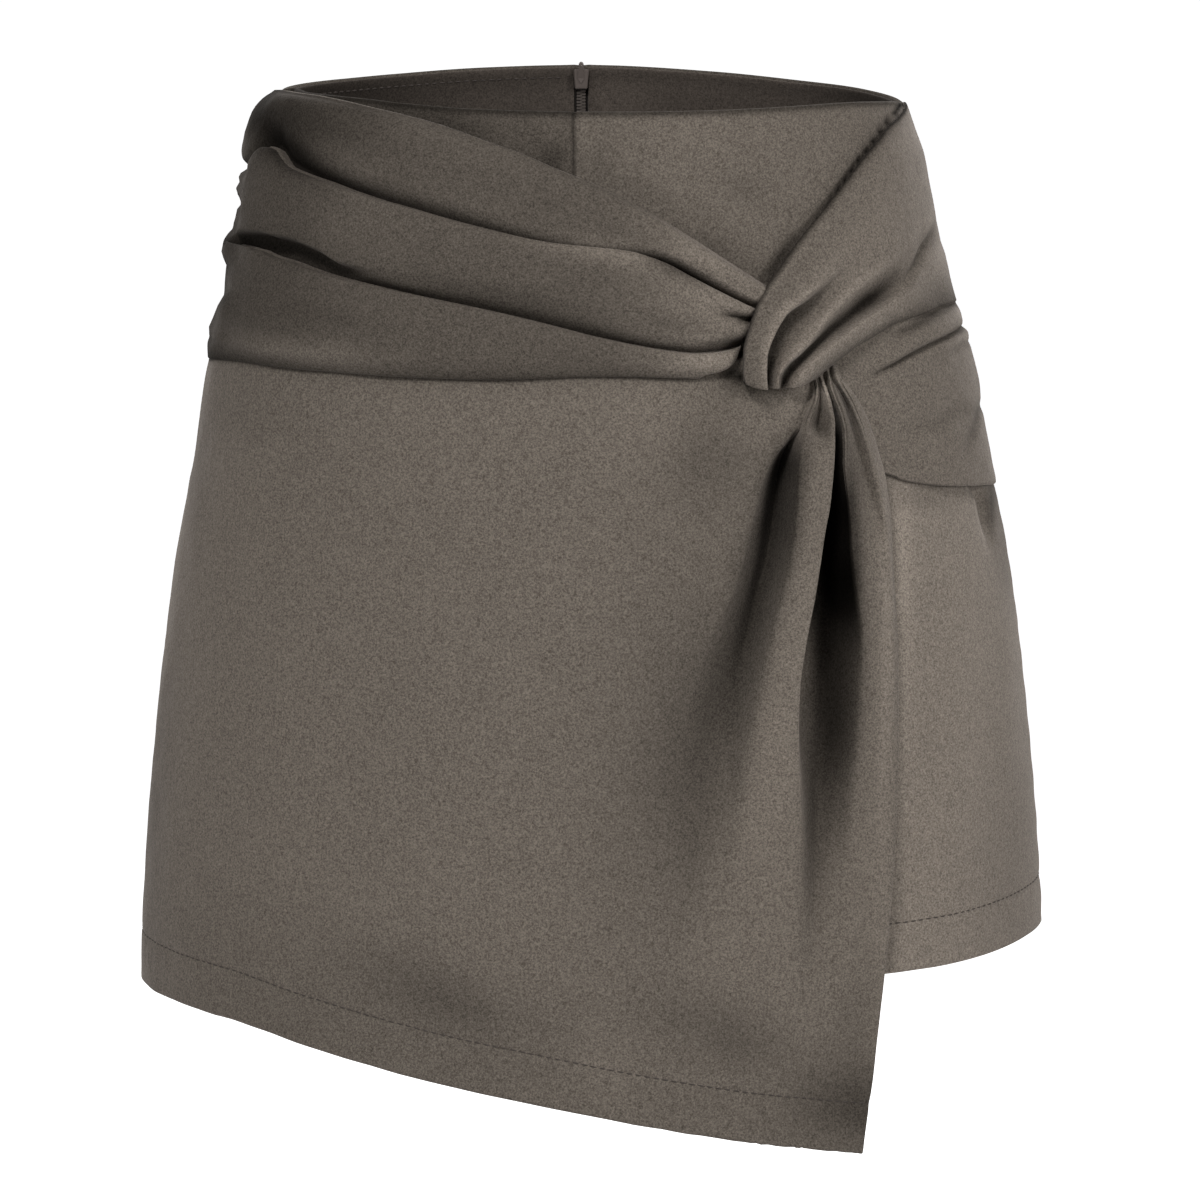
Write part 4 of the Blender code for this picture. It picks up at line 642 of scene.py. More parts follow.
# a darker copy of the same suede, with less sheen, for the facing inside the waist: painted shade
INSIDE_PAINTED_SHADE = suede("suede_inside_painted_shade", (0.038, 0.031, 0.026, 1), (0.096, 0.080, 0.067, 1), bump=0.7, sheen=0.12)
THREAD = plain("thread", (0.062, 0.052, 0.046, 1), 0.7, specular=0.25)
THREAD_LIGHT = plain("thread_light", (0.15, 0.125, 0.112, 1), 0.7, specular=0.25)
TAPE = plain("zip_tape_weave", (0.022, 0.019, 0.017, 1), 0.85, specular=0.2, grain=1400.0)
COIL = plain("zip_coil_nylon", (0.085, 0.072, 0.064, 1), 0.42)
METAL = plain("zip_slider_lacquer", (0.146, 0.122, 0.110, 1), 0.42, metallic=0.35, grain=500.0)

shown = []
front_cover = []


def done(obj, nodes, body=BODY):
    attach(obj, body)
    if nodes:
        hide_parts(*nodes)
    shown.append(obj)
    return obj


# ---------------------------------------------------------------- wrap band
def band_surface():
    left = np.concatenate([-89.9 + np.array([0, 0.35, 0.8, 1.3, 1.9, 2.6, 3.4, 4.3, 5.3]), np.linspace(-83.4, -40, 56), np.linspace(-39.2, 12, 52)])
    stations = np.concatenate([left, np.linspace(12.9, 30.0, 34)])
    share = (stations + 89.9) / (30.0 + 89.9)
    rows = []
    for roll in range(3):
        nose = [("nose", k) for k in range(4)] if roll else [("nose", 2), ("nose", 3)]
        upper = [("up", u) for u in (0.0, 0.03, 0.07, 0.12, 0.18, 0.26, 0.35, 0.46, 0.58, 0.70, 0.82, 0.92, 1.0)]
        lower = [("down", u) for u in (0.07, 0.14, 0.22, 0.31, 0.41, 0.52, 0.63, 0.74, 0.84, 0.93, 1.0)]
        rows += [(roll, kind, u) for kind, u in nose + upper + lower]
    rows.append((2, "end", 0.0))

    def at(roll, kind, u, deg):
        line = [column(BAND_LINES, k, deg) for k in (1, 2, 3, 4)]
        base = 1 + 4 * roll if roll < 2 else 10
        edge = column(BAND_ROLLS, base, deg)
        crown = column(BAND_ROLLS, base + 1, deg)
        low = column(BAND_ROLLS, base + 2, deg)
        top, bottom = line[roll], line[roll + 1]
        length = top - bottom
        if roll == 0:
            pocket, lip = column(BAND_ROLLS, 4, deg), np.zeros_like(deg)
        elif roll == 1:
            pocket, lip = column(BAND_ROLLS, 8, deg), column(BAND_ROLLS, 9, deg)
        else:
            pocket, lip = np.full_like(deg, 9.0), np.zeros_like(deg)
        start = 1 - np.clip(pocket / np.maximum(length, 1.0), 0.05, 0.62)
        before = column(BAND_ROLLS, 3 if roll == 1 else 7, deg) if roll else np.full_like(deg, 1.0)
        if kind == "nose":
            z = top + (-1.3, -0.5, 0.25, 0.45)[u]
            h = before + (edge - before) * (0.05, 0.32, 0.62, 0.86)[u]
            return z, h
        if kind == "end":
            return bottom - 0.5, low - 1.2
        if kind == "up":
            t = u * start
            rise = np.sqrt(np.clip(1 - (1 - np.clip(u / 0.42, 0, 1)) ** 2, 0, 1))
            h = edge + (crown - edge) * rise - 0.4 * smoothstep(u, 0.55, 1.0)
            return top - length * t, h
        t = start + (1 - start) * u
        high = crown - 0.4
        soft = high - (high - low) * (0.35 * u + 0.65 * u**2.2)
        sharp = low + (high - low) * (1 - smoothstep(u, 0.02, 0.42))
        if roll == 2:
            soft = high - (high - low) * u**1.5
        return top - length * t, soft * (1 - lip) + sharp * lip

    grid_deg = np.zeros((len(rows), len(stations)))
    grid_z, grid_h = grid_deg.copy(), grid_deg.copy()
    for i, (roll, kind, u) in enumerate(rows):
        z24, _ = at(roll, kind, u, np.array([24.0]))
        end = float(column(BAND_END, 1, z24)[0])
        deg = -89.9 + (end + 89.9) * share
        z, h = at(roll, kind, u, deg)
        grid_deg[i], grid_z[i], grid_h[i] = deg, z, h
    # gathered side seam on the left, rounded ends on the right
    side = column(BAND_SIDE, 1, grid_z)
    blend = smoothstep(grid_deg, -83.5, -72.0)
    h = side * (1 - blend) + grid_h * blend
    px, pz = on_form(grid_deg, grid_z, 0)[..., 0], grid_z
    # fine gathers that run from the seam into the cloth
    for z0, length, depth in ((-38.0, 26, 1.3), (-51.5, 18, 1.4), (-57.0, 22, 1.0), (-70.5, 26, 1.2), (-79.0, 30, 1.1), (-94.0, 22, 0.9), (-102.0, 26, 0.8)):
        x0 = -float(column(FORM, 1, z0))
        h += trough(px, pz, ((x0 - 9, z0 + 0.6), (x0 + length * 0.25, z0), (x0 + length, z0 + 1.8)), 1.9, depth, ends=(0.02, 0.75))
    h += trough(px, pz, ((-151, -47.5), (-147, -48.6), (-141, -50.5)), 2.3, 5.2, ends=(0.05, 0.5))
    h += trough(px, pz, ((-157, -86.0), (-152.5, -86.8), (-148, -87.2)), 2.3, 4.6, ends=(0.05, 0.45))
    h += trough(px, pz, ((-150, -88.0), (-142, -86.0), (-131, -83.0), (-124, -82.2)), 2.2, -1.3, ends=(0.2, 0.5))
    h += trough(px, pz, ((-150, -97.0), (-138, -97.2), (-124, -96.6)), 3.4, 1.0, ends=(0.3, 0.5))
    for cx, cz, rx, rz, depth in ((-124, -95.5, 9, 3.6, 0.9), (-99, -91.5, 9, 4.0, 1.3), (-86, -94.5, 8, 3.4, 0.9), (-57, -97.0, 12, 3.5, 0.6), (-8, -98.5, 14, 3.0, 0.9), (-60, -64, 14, 6, 0.5), (-95, -47, 12, 7, 0.6), (-30, -66, 16, 6, 0.5), (-45, -32, 18, 7, 0.5)):
        h -= depth * np.exp(-(((px - cx) / rx) ** 2 + ((pz - cz) / rz) ** 2))
    # the crease that splits the middle roll beside the knot
    split = ((44, -78.6), (52, -80.6), (58, -82.4), (68, -84.4))
    h += trough(px, pz, split, 1.5, 5.6, ends=(0.7, 0.01))
    # painted shade along that crease
    crease_painted_shade = 1 + trough(px, pz, split, 1.3, 0.65, ends=(0.7, 0.01))
    h += trough(px, pz, ((30, -75.5), (42, -74.5), (54, -76.0), (66, -80.0)), 3.0, -0.7, ends=(0.4, 0.3))
    h += trough(px, pz, ((46, -93.0), (56, -92.0), (64, -90.5)), 1.6, 1.6, ends=(0.6, 0.02))
    h += waves(grid_deg, grid_z, 3, ((0.22, 0.045, 0.02), (0.14, 0.09, 0.045)))
    turn_in = np.clip((grid_deg + 89.9) * 1.75 / 3.6, 0, 1)
    h = 1.2 + (h - 1.2) * np.sqrt(1 - (1 - turn_in) ** 2)
    end_deg = grid_deg[:, -1:]
    near = np.clip((end_deg - grid_deg) * 2.45 / 4.2, 0, 1)
    h = 2.6 + (h - 2.6) * np.sqrt(np.clip(1 - (1 - near) ** 2.4, 0, 1))
    h = np.maximum(h, 1.3)
    outer = on_form(grid_deg, grid_z, h)
    outer[:, 0, 1] = -SEAM_GAP / 2
    inner_h = np.minimum(np.maximum(blur(h[..., None], 14)[..., 0] - 2.6, 0.5), np.maximum(h - 0.9, 0.3))
    inner = on_form(grid_deg, grid_z, inner_h)
    inner[:, 0, 1] = -SEAM_GAP / 2
    # painted shade: the colour is painted darker down in the folds and under the lips, then scaled by the painted
    # shading across the band and its painted spots
    painted_shading = np.zeros_like(h)
    for i, (roll, kind, u) in enumerate(rows):
        deep = (0.60, 0.60, 0.30)[roll]
        down = u if kind == "down" else 1.0 if kind == "end" else 0.0
        lip = column(BAND_ROLLS, 9, grid_deg[i]) if roll == 1 else 0.0
        painted_shading[i] = 1 - deep * (down**1.4 * (1 - lip) + 0.80 * smoothstep(down, 0.0, 0.55) * lip) if kind != "nose" else (0.9 if u >= 2 or roll == 0 else 0.35 + 0.25 * u)
    painted_shading = (1 - (1 - painted_shading) * smoothstep(grid_h.max(axis=0)[None] - grid_h, -1.0, 5.0)) * np.clip(crease_painted_shade, 0.2, 1)
    painted_shading *= column(BAND_PAINTED_SHADING, 1, px) * painted_spots(px, pz, BAND_PAINTED_SPOTS)
    return outer, inner, painted_shading


outer, inner, painted_shading = band_surface()
front_cover.append((outer, inner))
band = shell("wrap_band_cloth", outer, inner, CLOTH, painted_shading)
done(band, ["wrap_band"])


# ---------------------------------------------------------------- upper sash
def sash_surface():
    guides = np.array(SASH_GUIDES, float)
    stations, count = guides.shape[:2]
    # how far along: 0 at the side seam, 1 at the knot's rim
    knot = smoothstep(np.arange(stations), 5.5, 9.5) * (1 - smoothstep(np.arange(stations), 12.6, 14.0))
    valley = smoothstep(np.arange(stations), 2.0, 5.5) * (1 - smoothstep(np.arange(stations), 12.4, 14.0))
    guides[:, 4, 2] -= 3.6 * knot
    guides[:, 5, 2] -= 2.2 * knot
    guides[:, 7, 2] -= 2.6 * valley
    guides[:, 3, 2] += 0.6 * knot
    guides[0, :, 2] = 1.0
    guides[0, 8:, 2] = 1.6
    guides[1, :, 2] -= 1.3
    guides[2, :, 2] -= 0.4
    guides[1:4, 8, 2] -= (0.9, 0.9, 0.4)
    guides[1:4, 9, 2] -= (0.9, 0.9, 0.4)
    guides[0, :3, 1] -= (2.2, 1.2, 0.4)
    guides[1, :2, 1] -= (1.2, 0.5)
    # painted light and shade per guide: the rolled edge and the lower edge dark as shadow, creases and the long valley
    # darker, ridges lighter near the knot
    guide_painted_shading = np.ones((stations, count))
    guide_painted_shading[:, 0] = 0.12
    guide_painted_shading[:, 1] = 0.96 - 0.10 * valley - 0.16 * knot
    guide_painted_shading[:, 2] = 0.98 - 0.16 * knot
    guide_painted_shading[:, 3] = 1.0 + 0.30 * knot
    guide_painted_shading[:, 4] = 1.0 - 0.72 * knot
    guide_painted_shading[:, 5] = 1.0 - 0.42 * knot
    guide_painted_shading[:, 6] = 1.0 + 0.25 * valley
    guide_painted_shading[:, 7] = 1.0 - 0.78 * valley
    guide_painted_shading[:, 8] = 1.0 + 0.22 * valley
    guide_painted_shading[:, 9] = 1.02
    guide_painted_shading[:, 9] = 0.98 - 0.25 * (1 - smoothstep(np.arange(stations), 1.0, 4.0))
    guide_painted_shading[:, 10] = 0.42
    guides = np.concatenate([guides, guide_painted_shading[..., None]], 2)
    first, second = guides[:, 0], guides[:, 1]
    a, b = first + (second - first) * 0.10, first + (second - first) * 0.36
    a[:, 2], b[:, 2] = first[:, 2] + (second[:, 2] - first[:, 2]) * 0.52, first[:, 2] + (second[:, 2] - first[:, 2]) * 0.86
    mid = smoothstep(np.arange(stations), 2.0, 4.5) * (1 - smoothstep(np.arange(stations), 9.5, 11.5))
    a[:, 3], b[:, 3] = 0.64 - 0.12 * mid, 0.90 - 0.06 * mid
    guides = np.concatenate([first[:, None], a[:, None], b[:, None], guides[:, 1:]], 1)
    count = guides.shape[1]
    along = np.concatenate([np.array([0, 0.08, 0.2]), np.linspace(0.32, 7, 56), np.linspace(7.08, 13, 76), np.linspace(13.25, stations - 1, 8)])
    gaps = (3, 4, 8, 10, 10, 10, 8, 10, 12, 10, 10, 10)
    q = np.concatenate([k + np.arange(n) / n for k, n in enumerate(gaps)] + [[count - 1.0]])
    fields = []
    for c in range(4):
        lengthwise = hermite(along, np.arange(stations), guides[:, :, c])
        fields.append(across(np.tile(q, len(along)), np.repeat(lengthwise, len(q), axis=0)).reshape(len(along), len(q)))
    deg, z, h, painted_shading = fields
    px, pz = on_form(deg, z, 0)[..., 0], z
    h += trough(px, pz, ((132, -22), (126, -40), (120, -50)), 8.0, 0.5)
    h += trough(px, pz, ((140, -46), (132, -52), (122, -60)), 3.0, 0.45)
    h += trough(px, pz, ((141.5, -52.5), (137.9, -57.5), (133.1, -63.9), (128.1, -71.0), (123.9, -79.5)), 1.5, 1.4, ends=(0.2, 0.6), below=2.8)
    h += waves(deg, z, 11, ((0.16, 0.05, 0.03), (0.10, 0.11, 0.05)))
    side = np.clip((89.9 - deg) * 1.75 / 2.4, 0, 1)
    h = 0.9 + (h - 0.9) * np.sqrt(1 - (1 - side) ** 2)
    # painted shade along two creases
    painted_shading = painted_shading + trough(px, pz, ((126, -64.5), (121.9, -68.1), (115.0, -74.4), (107.7, -80.0), (100.8, -85.0)), 4.2, 0.26, ends=(0.3, 0.4))
    painted_shading = painted_shading + trough(px, pz, ((141.5, -52.5), (137.9, -57.5), (133.1, -63.9), (128.1, -71.0), (123.9, -79.5)), 1.8, 0.38, ends=(0.2, 0.5), below=3.4)
    outer = on_form(deg, z, h)
    outer[0, :, 1] = -SEAM_GAP / 2
    n = grid_normals(blur(outer, 5), outer * np.array([1, 1, 0]))
    inner = outer - n * WALL
    inner[0, :, 1] = -SEAM_GAP / 2
    return outer, inner, np.clip(painted_shading, 0.15, 1.4) * SASH_PAINTED_LIGHT


# painted light: the whole sash painted 10% lighter
SASH_PAINTED_LIGHT = 1.10
outer, inner, painted_shading = sash_surface()
sash = shell("sash_upper_cloth", outer, inner, CLOTH, painted_shading)
done(sash, ["sash_upper"])


# ---------------------------------------------------------------- lower sash
def lower_sash_surface():
    deg = np.concatenate([[89.9, 89.5, 89.0, 88.3], np.linspace(87.4, 37.5, 84)])
    share = np.concatenate([np.linspace(0, 0.95, 74), np.linspace(0.958, 1.0, 8)])
    top, bottom = column(LOWER_SASH_TOP, 1, deg), column(LOWER_SASH_BOTTOM, 1, deg)
    z = top[None] + (bottom - top)[None] * share[:, None]
    d = np.broadcast_to(deg, z.shape).copy()
    d = d + 5.0 * (1 - smoothstep(d, 37.5, 52)) * smoothstep(-z, 108, 122)
    px = on_form(d, z, 0)[..., 0]
    base = 2.3 + 0.9 * smoothstep(d, 44, 60)
    side = column(LOWER_SIDE, 1, z)
    blend = smoothstep(d, 74, 88.5)
    h = base * (1 - blend) + side * blend
    # creases that fan out from the knot to the side seam
    h += trough(px, z, ((160, -89.8), (150, -92.0), (137, -95.5), (124, -100.5), (112, -106.5)), 4.6, -1.7, ends=(0.55, 0.2))
    h += trough(px, z, ((162, -97.1), (147.6, -97.4), (138.7, -99.0), (130.2, -101.6), (121.7, -105.4), (107.0, -112.6)), 1.1, 1.9, ends=(0.02, 0.3), below=1.5)
    h += trough(px, z, ((158, -100.5), (147, -101.5), (138, -103.6), (124, -109.0)), 2.4, -0.8, ends=(0.2, 0.6))
    h += trough(px, z, ((156, -102), (151, -106.5), (148, -112)), 1.6, 0.7, ends=(0.2, 0.7))
    h += trough(px, z, ((151, -101), (147, -105.5), (145, -109)), 1.5, 0.6, ends=(0.2, 0.7))
    h += trough(px, z, ((160.8, -131.0), (147.2, -129.4), (140.7, -131.7), (124, -134.4), (112, -135.0)), 4.0, 0.9, ends=(0.1, 0.5))
    h += trough(px, z, ((162, -128.0), (156.7, -136.0), (153.5, -140.9), (149.0, -147.5)), 2.2, 1.2, ends=(0.2, 0.6))
    h += trough(px, z, ((130, -118), (121, -125), (114, -134)), 7.0, -0.6)
    h += waves(d, z, 5, ((0.16, 0.06, 0.03), (0.10, 0.12, 0.05)))
    edge = np.clip((1 - share)[:, None] * np.abs(bottom - top)[None] / 2.4, 0, 1)
    h = h * (0.80 + 0.20 * np.sqrt(1 - (1 - edge) ** 2))
    seam = np.clip((89.9 - d) * 1.75 / 2.0, 0, 1)
    h = 0.9 + (h - 0.9) * np.sqrt(1 - (1 - seam) ** 2)
    h = 0.7 + (h - 0.7) * (1 - smoothstep(d, 54, 66) * (1 - smoothstep(-z, 86.0, 92.5)))
    h = np.maximum(h, 0.7)
    outer = on_form(d, z, h)
    outer[:, 0, 1] = -SEAM_GAP / 2
    n = grid_normals(outer, outer * np.array([1, 1, 0]))
    inner = outer - n * np.minimum(WALL, h - 0.3)[..., None]
    inner[:, 0, 1] = -SEAM_GAP / 2
    # painted shade along its creases
    painted_shading = np.full(h.shape, 0.98)
    painted_shading += trough(px, z, ((162, -97.1), (147.6, -97.4), (138.7, -99.0), (130.2, -101.6), (121.7, -105.4), (107.0, -112.6)), 1.2, 0.62, ends=(0.02, 0.3))
    painted_shading += trough(px, z, ((162, -86.6), (150, -86.9), (143.4, -87.6), (134.7, -89.8), (124.3, -92.8), (116, -96.2)), 2.0, 0.55, ends=(0.02, 0.3))
    painted_shading += trough(px, z, ((162, -128.0), (156.7, -136.0), (153.5, -140.9), (149.0, -147.5)), 2.6, 0.36, ends=(0.2, 0.5))
    painted_shading += trough(px, z, ((160.8, -131.0), (147.2, -129.4), (140.7, -131.7), (124, -134.4)), 3.0, 0.16, ends=(0.1, 0.5))
    return outer, inner, np.clip(painted_shading, 0.2, 1.3)


outer, inner, painted_shading = lower_sash_surface()
lower = shell("sash_lower_cloth", outer, inner, CLOTH, painted_shading)
done(lower, ["sash_lower"])


# ---------------------------------------------------------------- overlay panel
def overlay_surface():
    table = np.array(OVERLAY_GUIDES, float)
    levels, degs, hs = table[:, 0], table[:, 1::2].copy(), table[:, 2::2].copy()
    # the two hollows go deep behind the cone's edges
    one = smoothstep(-levels, 126, 142) * (1 - smoothstep(-levels, 190, 330))
    two = smoothstep(-levels, 112, 134) * (1 - smoothstep(-levels, 215, 345))
    nearer = smoothstep(-levels, 126, 146) * (1 - smoothstep(-levels, 188, 216))
    degs[:, 7] -= 1.0 * nearer
    degs[:, 8] -= 1.2 * nearer
    degs[:, 1] += 0.5 * (degs[:, 2] - degs[:, 1]) * smoothstep(-levels, 134, 150) * (1 - 0.5 * smoothstep(-levels, 250, 380))
    hs[:, 1] -= 6.5 * one
    hs[:, 7] -= 9.0 * two
    wall_deg, wall_h = degs[:, 6] + 0.16 * (degs[:, 7] - degs[:, 6]), hs[:, 7] * 0.85 + hs[:, 6] * 0.15
    slack = smoothstep(-levels, 185, 330)
    wall_deg = wall_deg * (1 - slack) + (degs[:, 6] + degs[:, 7]) / 2 * slack
    wall_h = wall_h * (1 - slack) + (hs[:, 6] + hs[:, 7]) / 2 * slack
    degs, hs = np.insert(degs, 7, wall_deg, 1), np.insert(hs, 7, wall_h, 1)
    # painted shade: the guides in and beside the two hollows painted darker, fading lower down, and the crease by the
    # free edge darker below the knot
    guide_painted_shading = np.ones_like(hs)
    for k, dark in ((0, 0.10), (1, 0.62), (2, 0.25), (4, 0.0), (7, 0.86), (8, 0.80), (9, 0.10)):
        guide_painted_shading[:, k] -= dark * (one if k < 4 else two) * (1 - {7: 0.85, 8: 0.50}.get(k, 0.0) * smoothstep(-levels, 186, 222) * (1 - 0.6 * smoothstep(-levels, 235, 270)))
    guide_painted_shading[:, 2] -= 0.24 * one * smoothstep(-levels, 136, 158) * (1 - smoothstep(-levels, 160, 205))
    guide_painted_shading[:, 10] -= 0.22 * smoothstep(-levels, 105, 113) * (1 - smoothstep(-levels, 148, 182))
    plain_cols = np.concatenate([np.array([0, 0.004, 0.01, 0.018]), np.linspace(0.03, 1, 74)[:-1]])
    gaps = (13, 9, 8, 7, 7, 5, 12, 12, 10, 9, 7, 9)
    q = np.concatenate([k + np.arange(n) / n for k, n in enumerate(gaps)] + [[12.0]])
    level_z = np.concatenate([np.linspace(-97, -106, 6), np.linspace(-107.2, -190, 66), np.linspace(-192.2, -300, 48), np.linspace(-303, -421, 42), [-422.2, -423.2, -424.0]])
    rows = (level_z - level_z[0]) / (level_z[-1] - level_z[0])

    def place(z, kind_plain, value):
        """Angle, stand-off and painted shading for flat arrays of heights and column values."""
        d, h, painted_shading = hermite(z, levels, degs), hermite(z, levels, hs), hermite(z, levels, guide_painted_shading)
        if kind_plain:
            deg = -89.9 + (d[:, 0] + 89.9) * value
            hh = column(OVERLAY_PLAIN, 1, value) * (1 - smoothstep(value, 0.6, 1.0)) + h[:, 0] * smoothstep(value, 0.5, 1.0)
            return deg, hh, 1 - (1 - painted_shading[:, 0]) * smoothstep(value, 0.8, 1.0)
        # painted shade: the wall between hollow 2 and the ridge beside it is painted dark almost up to the ridge
        bent = np.where((value > 8) & (value < 9), 8 + np.clip(value - 8, 0, 1) ** 4, value)
        bent = np.where((value > 2) & (value < 3), 2 + np.clip(value - 2, 0, 1) ** 0.55, bent)
        wall = smoothstep(value, 8.0, 8.35) * (1 - smoothstep(value, 8.80, 8.97))
        dark = 0.80 * smoothstep(-z, 122, 140) * (1 - smoothstep(-z, 192, 232))
        return across(value, d), across(value, h), across(bent, painted_shading) * (1 - dark * wall)

    blocks = []
    for kind_plain, values in ((True, plain_cols), (False, q)):
        top_deg, _, _ = place(np.full(len(values), -104.0), kind_plain, values)
        hem_deg, _, _ = place(np.full(len(values), -410.0), kind_plain, values)
        top, hem = column(OVERLAY_TOP, 1, top_deg), column(OVERLAY_HEM, 1, hem_deg)
        # the levels keep their own heights near the top, and stretch to the hem lower down
        low = smoothstep(-level_z, 190, 424)[:, None]
        z = level_z[:, None] * (1 - low) + (top + (hem - top) * rows[:, None]) * low
        z = z + (top - level_z[0])[None] * (1 - smoothstep(-level_z, 97, 125))[:, None]
        flat_z, flat_v = z.reshape(-1), np.tile(values, len(level_z))
        deg, h, painted_shading = place(flat_z, kind_plain, flat_v)
        blocks.append((deg.reshape(z.shape), z, h.reshape(z.shape), painted_shading.reshape(z.shape)))
    deg, z, h, painted_shading = (np.concatenate([a, b], 1) for a, b in zip(*blocks))
    px = on_form(deg, z, 0)[..., 0]
    # soft folds left of the cone, and slow unevenness of the hanging cloth
    h += trough(px, z, ((68, -142), (58, -168), (46, -205), (36, -245)), 9.0, 1.1, ends=(0.25, 0.5))
    h += trough(px, z, ((58, -150), (47, -172), (36, -200)), 4.0, -0.9, ends=(0.3, 0.4))
    h += trough(px, z, ((48, -160), (40, -176), (33, -186)), 3.0, 0.8, ends=(0.3, 0.4))
    h += trough(px, z, ((55, -110), (50, -120), (48, -132)), 5.0, 0.7)
    h += trough(px, z, ((-60, -130), (-66, -220), (-74, -330)), 22.0, -0.9)
    h += trough(px, z, ((-120, -160), (-128, -250), (-134, -350)), 16.0, -0.7)
    h += trough(px, z, ((-20, -180), (-22, -270), (-26, -380)), 20.0, 0.8)
    h += waves(deg, z, 7, ((0.28, 0.018, 0.004), (0.16, 0.05, 0.012), (0.10, 0.11, 0.03)))
    # its turned hem: a shallow groove where it is stitched, and small puckers between stitches and edge
    hem_here = column(OVERLAY_HEM, 1, np.clip(deg, -90, 36))
    up = z - hem_here
    h -= 0.45 * np.exp(-(((up - HEM_TURN) / 1.2) ** 2))
    rng = np.random.default_rng(21)
    phase = np.cumsum(rng.uniform(0.7, 1.3, deg.shape[1]))
    h += 0.16 * np.sin(phase * 1.9)[None] * np.exp(-(((up - 14) / 8) ** 2))
    seam = np.clip((deg + 89.9) * 1.75 / 2.2, 0, 1)
    h -= 0.7 * (1 - np.sqrt(1 - (1 - seam) ** 2))
    h += 2.6 * (1 - smoothstep(-z, 112, 158)) * (1 - smoothstep(deg, -80, -45)) * np.sqrt(1 - (1 - seam) ** 2)
    outer = on_form(deg, z, h)
    outer[:, 0, 1] = -SEAM_GAP / 2
    rough_edge = np.interp(np.arange(deg.shape[1]), np.arange(0, deg.shape[1], 3), rng.uniform(-0.22, 0.22, len(range(0, deg.shape[1], 3))))
    outer[-3:, :, 2] += rough_edge[None]
    n = grid_normals(blur(outer, 2), outer * np.array([1, 1, 0]))
    inner = outer - n * WALL
    inner[:, 0, 1] = -SEAM_GAP / 2
    # painted light and shade from the overlay's spots, and darker towards the hem
    painted_shading = np.clip(painted_shading, 0.12, 1.2) * painted_spots(px, z, OVERLAY_PAINTED_SPOTS) * (1 - 0.13 * (1 - smoothstep(up, 5, 75)))
    # a painted shadow just below the band's lower edge
    below_band = z - column(BAND_LINES, 4, deg)
    painted_shading *= 1 - (0.62 * np.exp(-(((below_band - 0.6) / 1.7) ** 2)) + 0.14 * np.exp(-((below_band / 6.0) ** 2))) * (1 - smoothstep(deg, 14, 19))
    return outer, inner, n, up, painted_shading


outer, inner, normals, up, painted_shading = overlay_surface()
front_cover.append((outer, inner))
overlay = shell("overlay_panel_cloth", outer, inner, CLOTH, painted_shading)


def row_at(outer, normals, up, height, columns):
    """The line on a surface that lies this far above its hem."""
    points, ns = [], []
    for j in columns:
        order = np.argsort(up[:, j])
        points.append([np.interp(height, up[order, j], outer[order, j, k]) for k in range(3)])
        ns.append([np.interp(height, up[order, j], normals[order, j, k]) for k in range(3)])
    return np.array(points), unit(np.array(ns))


points, ns = row_at(outer, normals, up, HEM_TURN, range(1, outer.shape[1]))
overlay_stitches = stitches("overlay_hem_stitches", [dict(points=points, normals=ns)], THREAD)
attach(overlay_stitches, BODY)
done(overlay, ["overlay_panel"])


# ---------------------------------------------------------------- shorts
def seam_x(side, z):
    if side < 0:
        return CF_SEAM_X * (1 - smoothstep(-z, 60, 200))
    return CB_SEAM_X * (1 - smoothstep(-z, 120, 230))


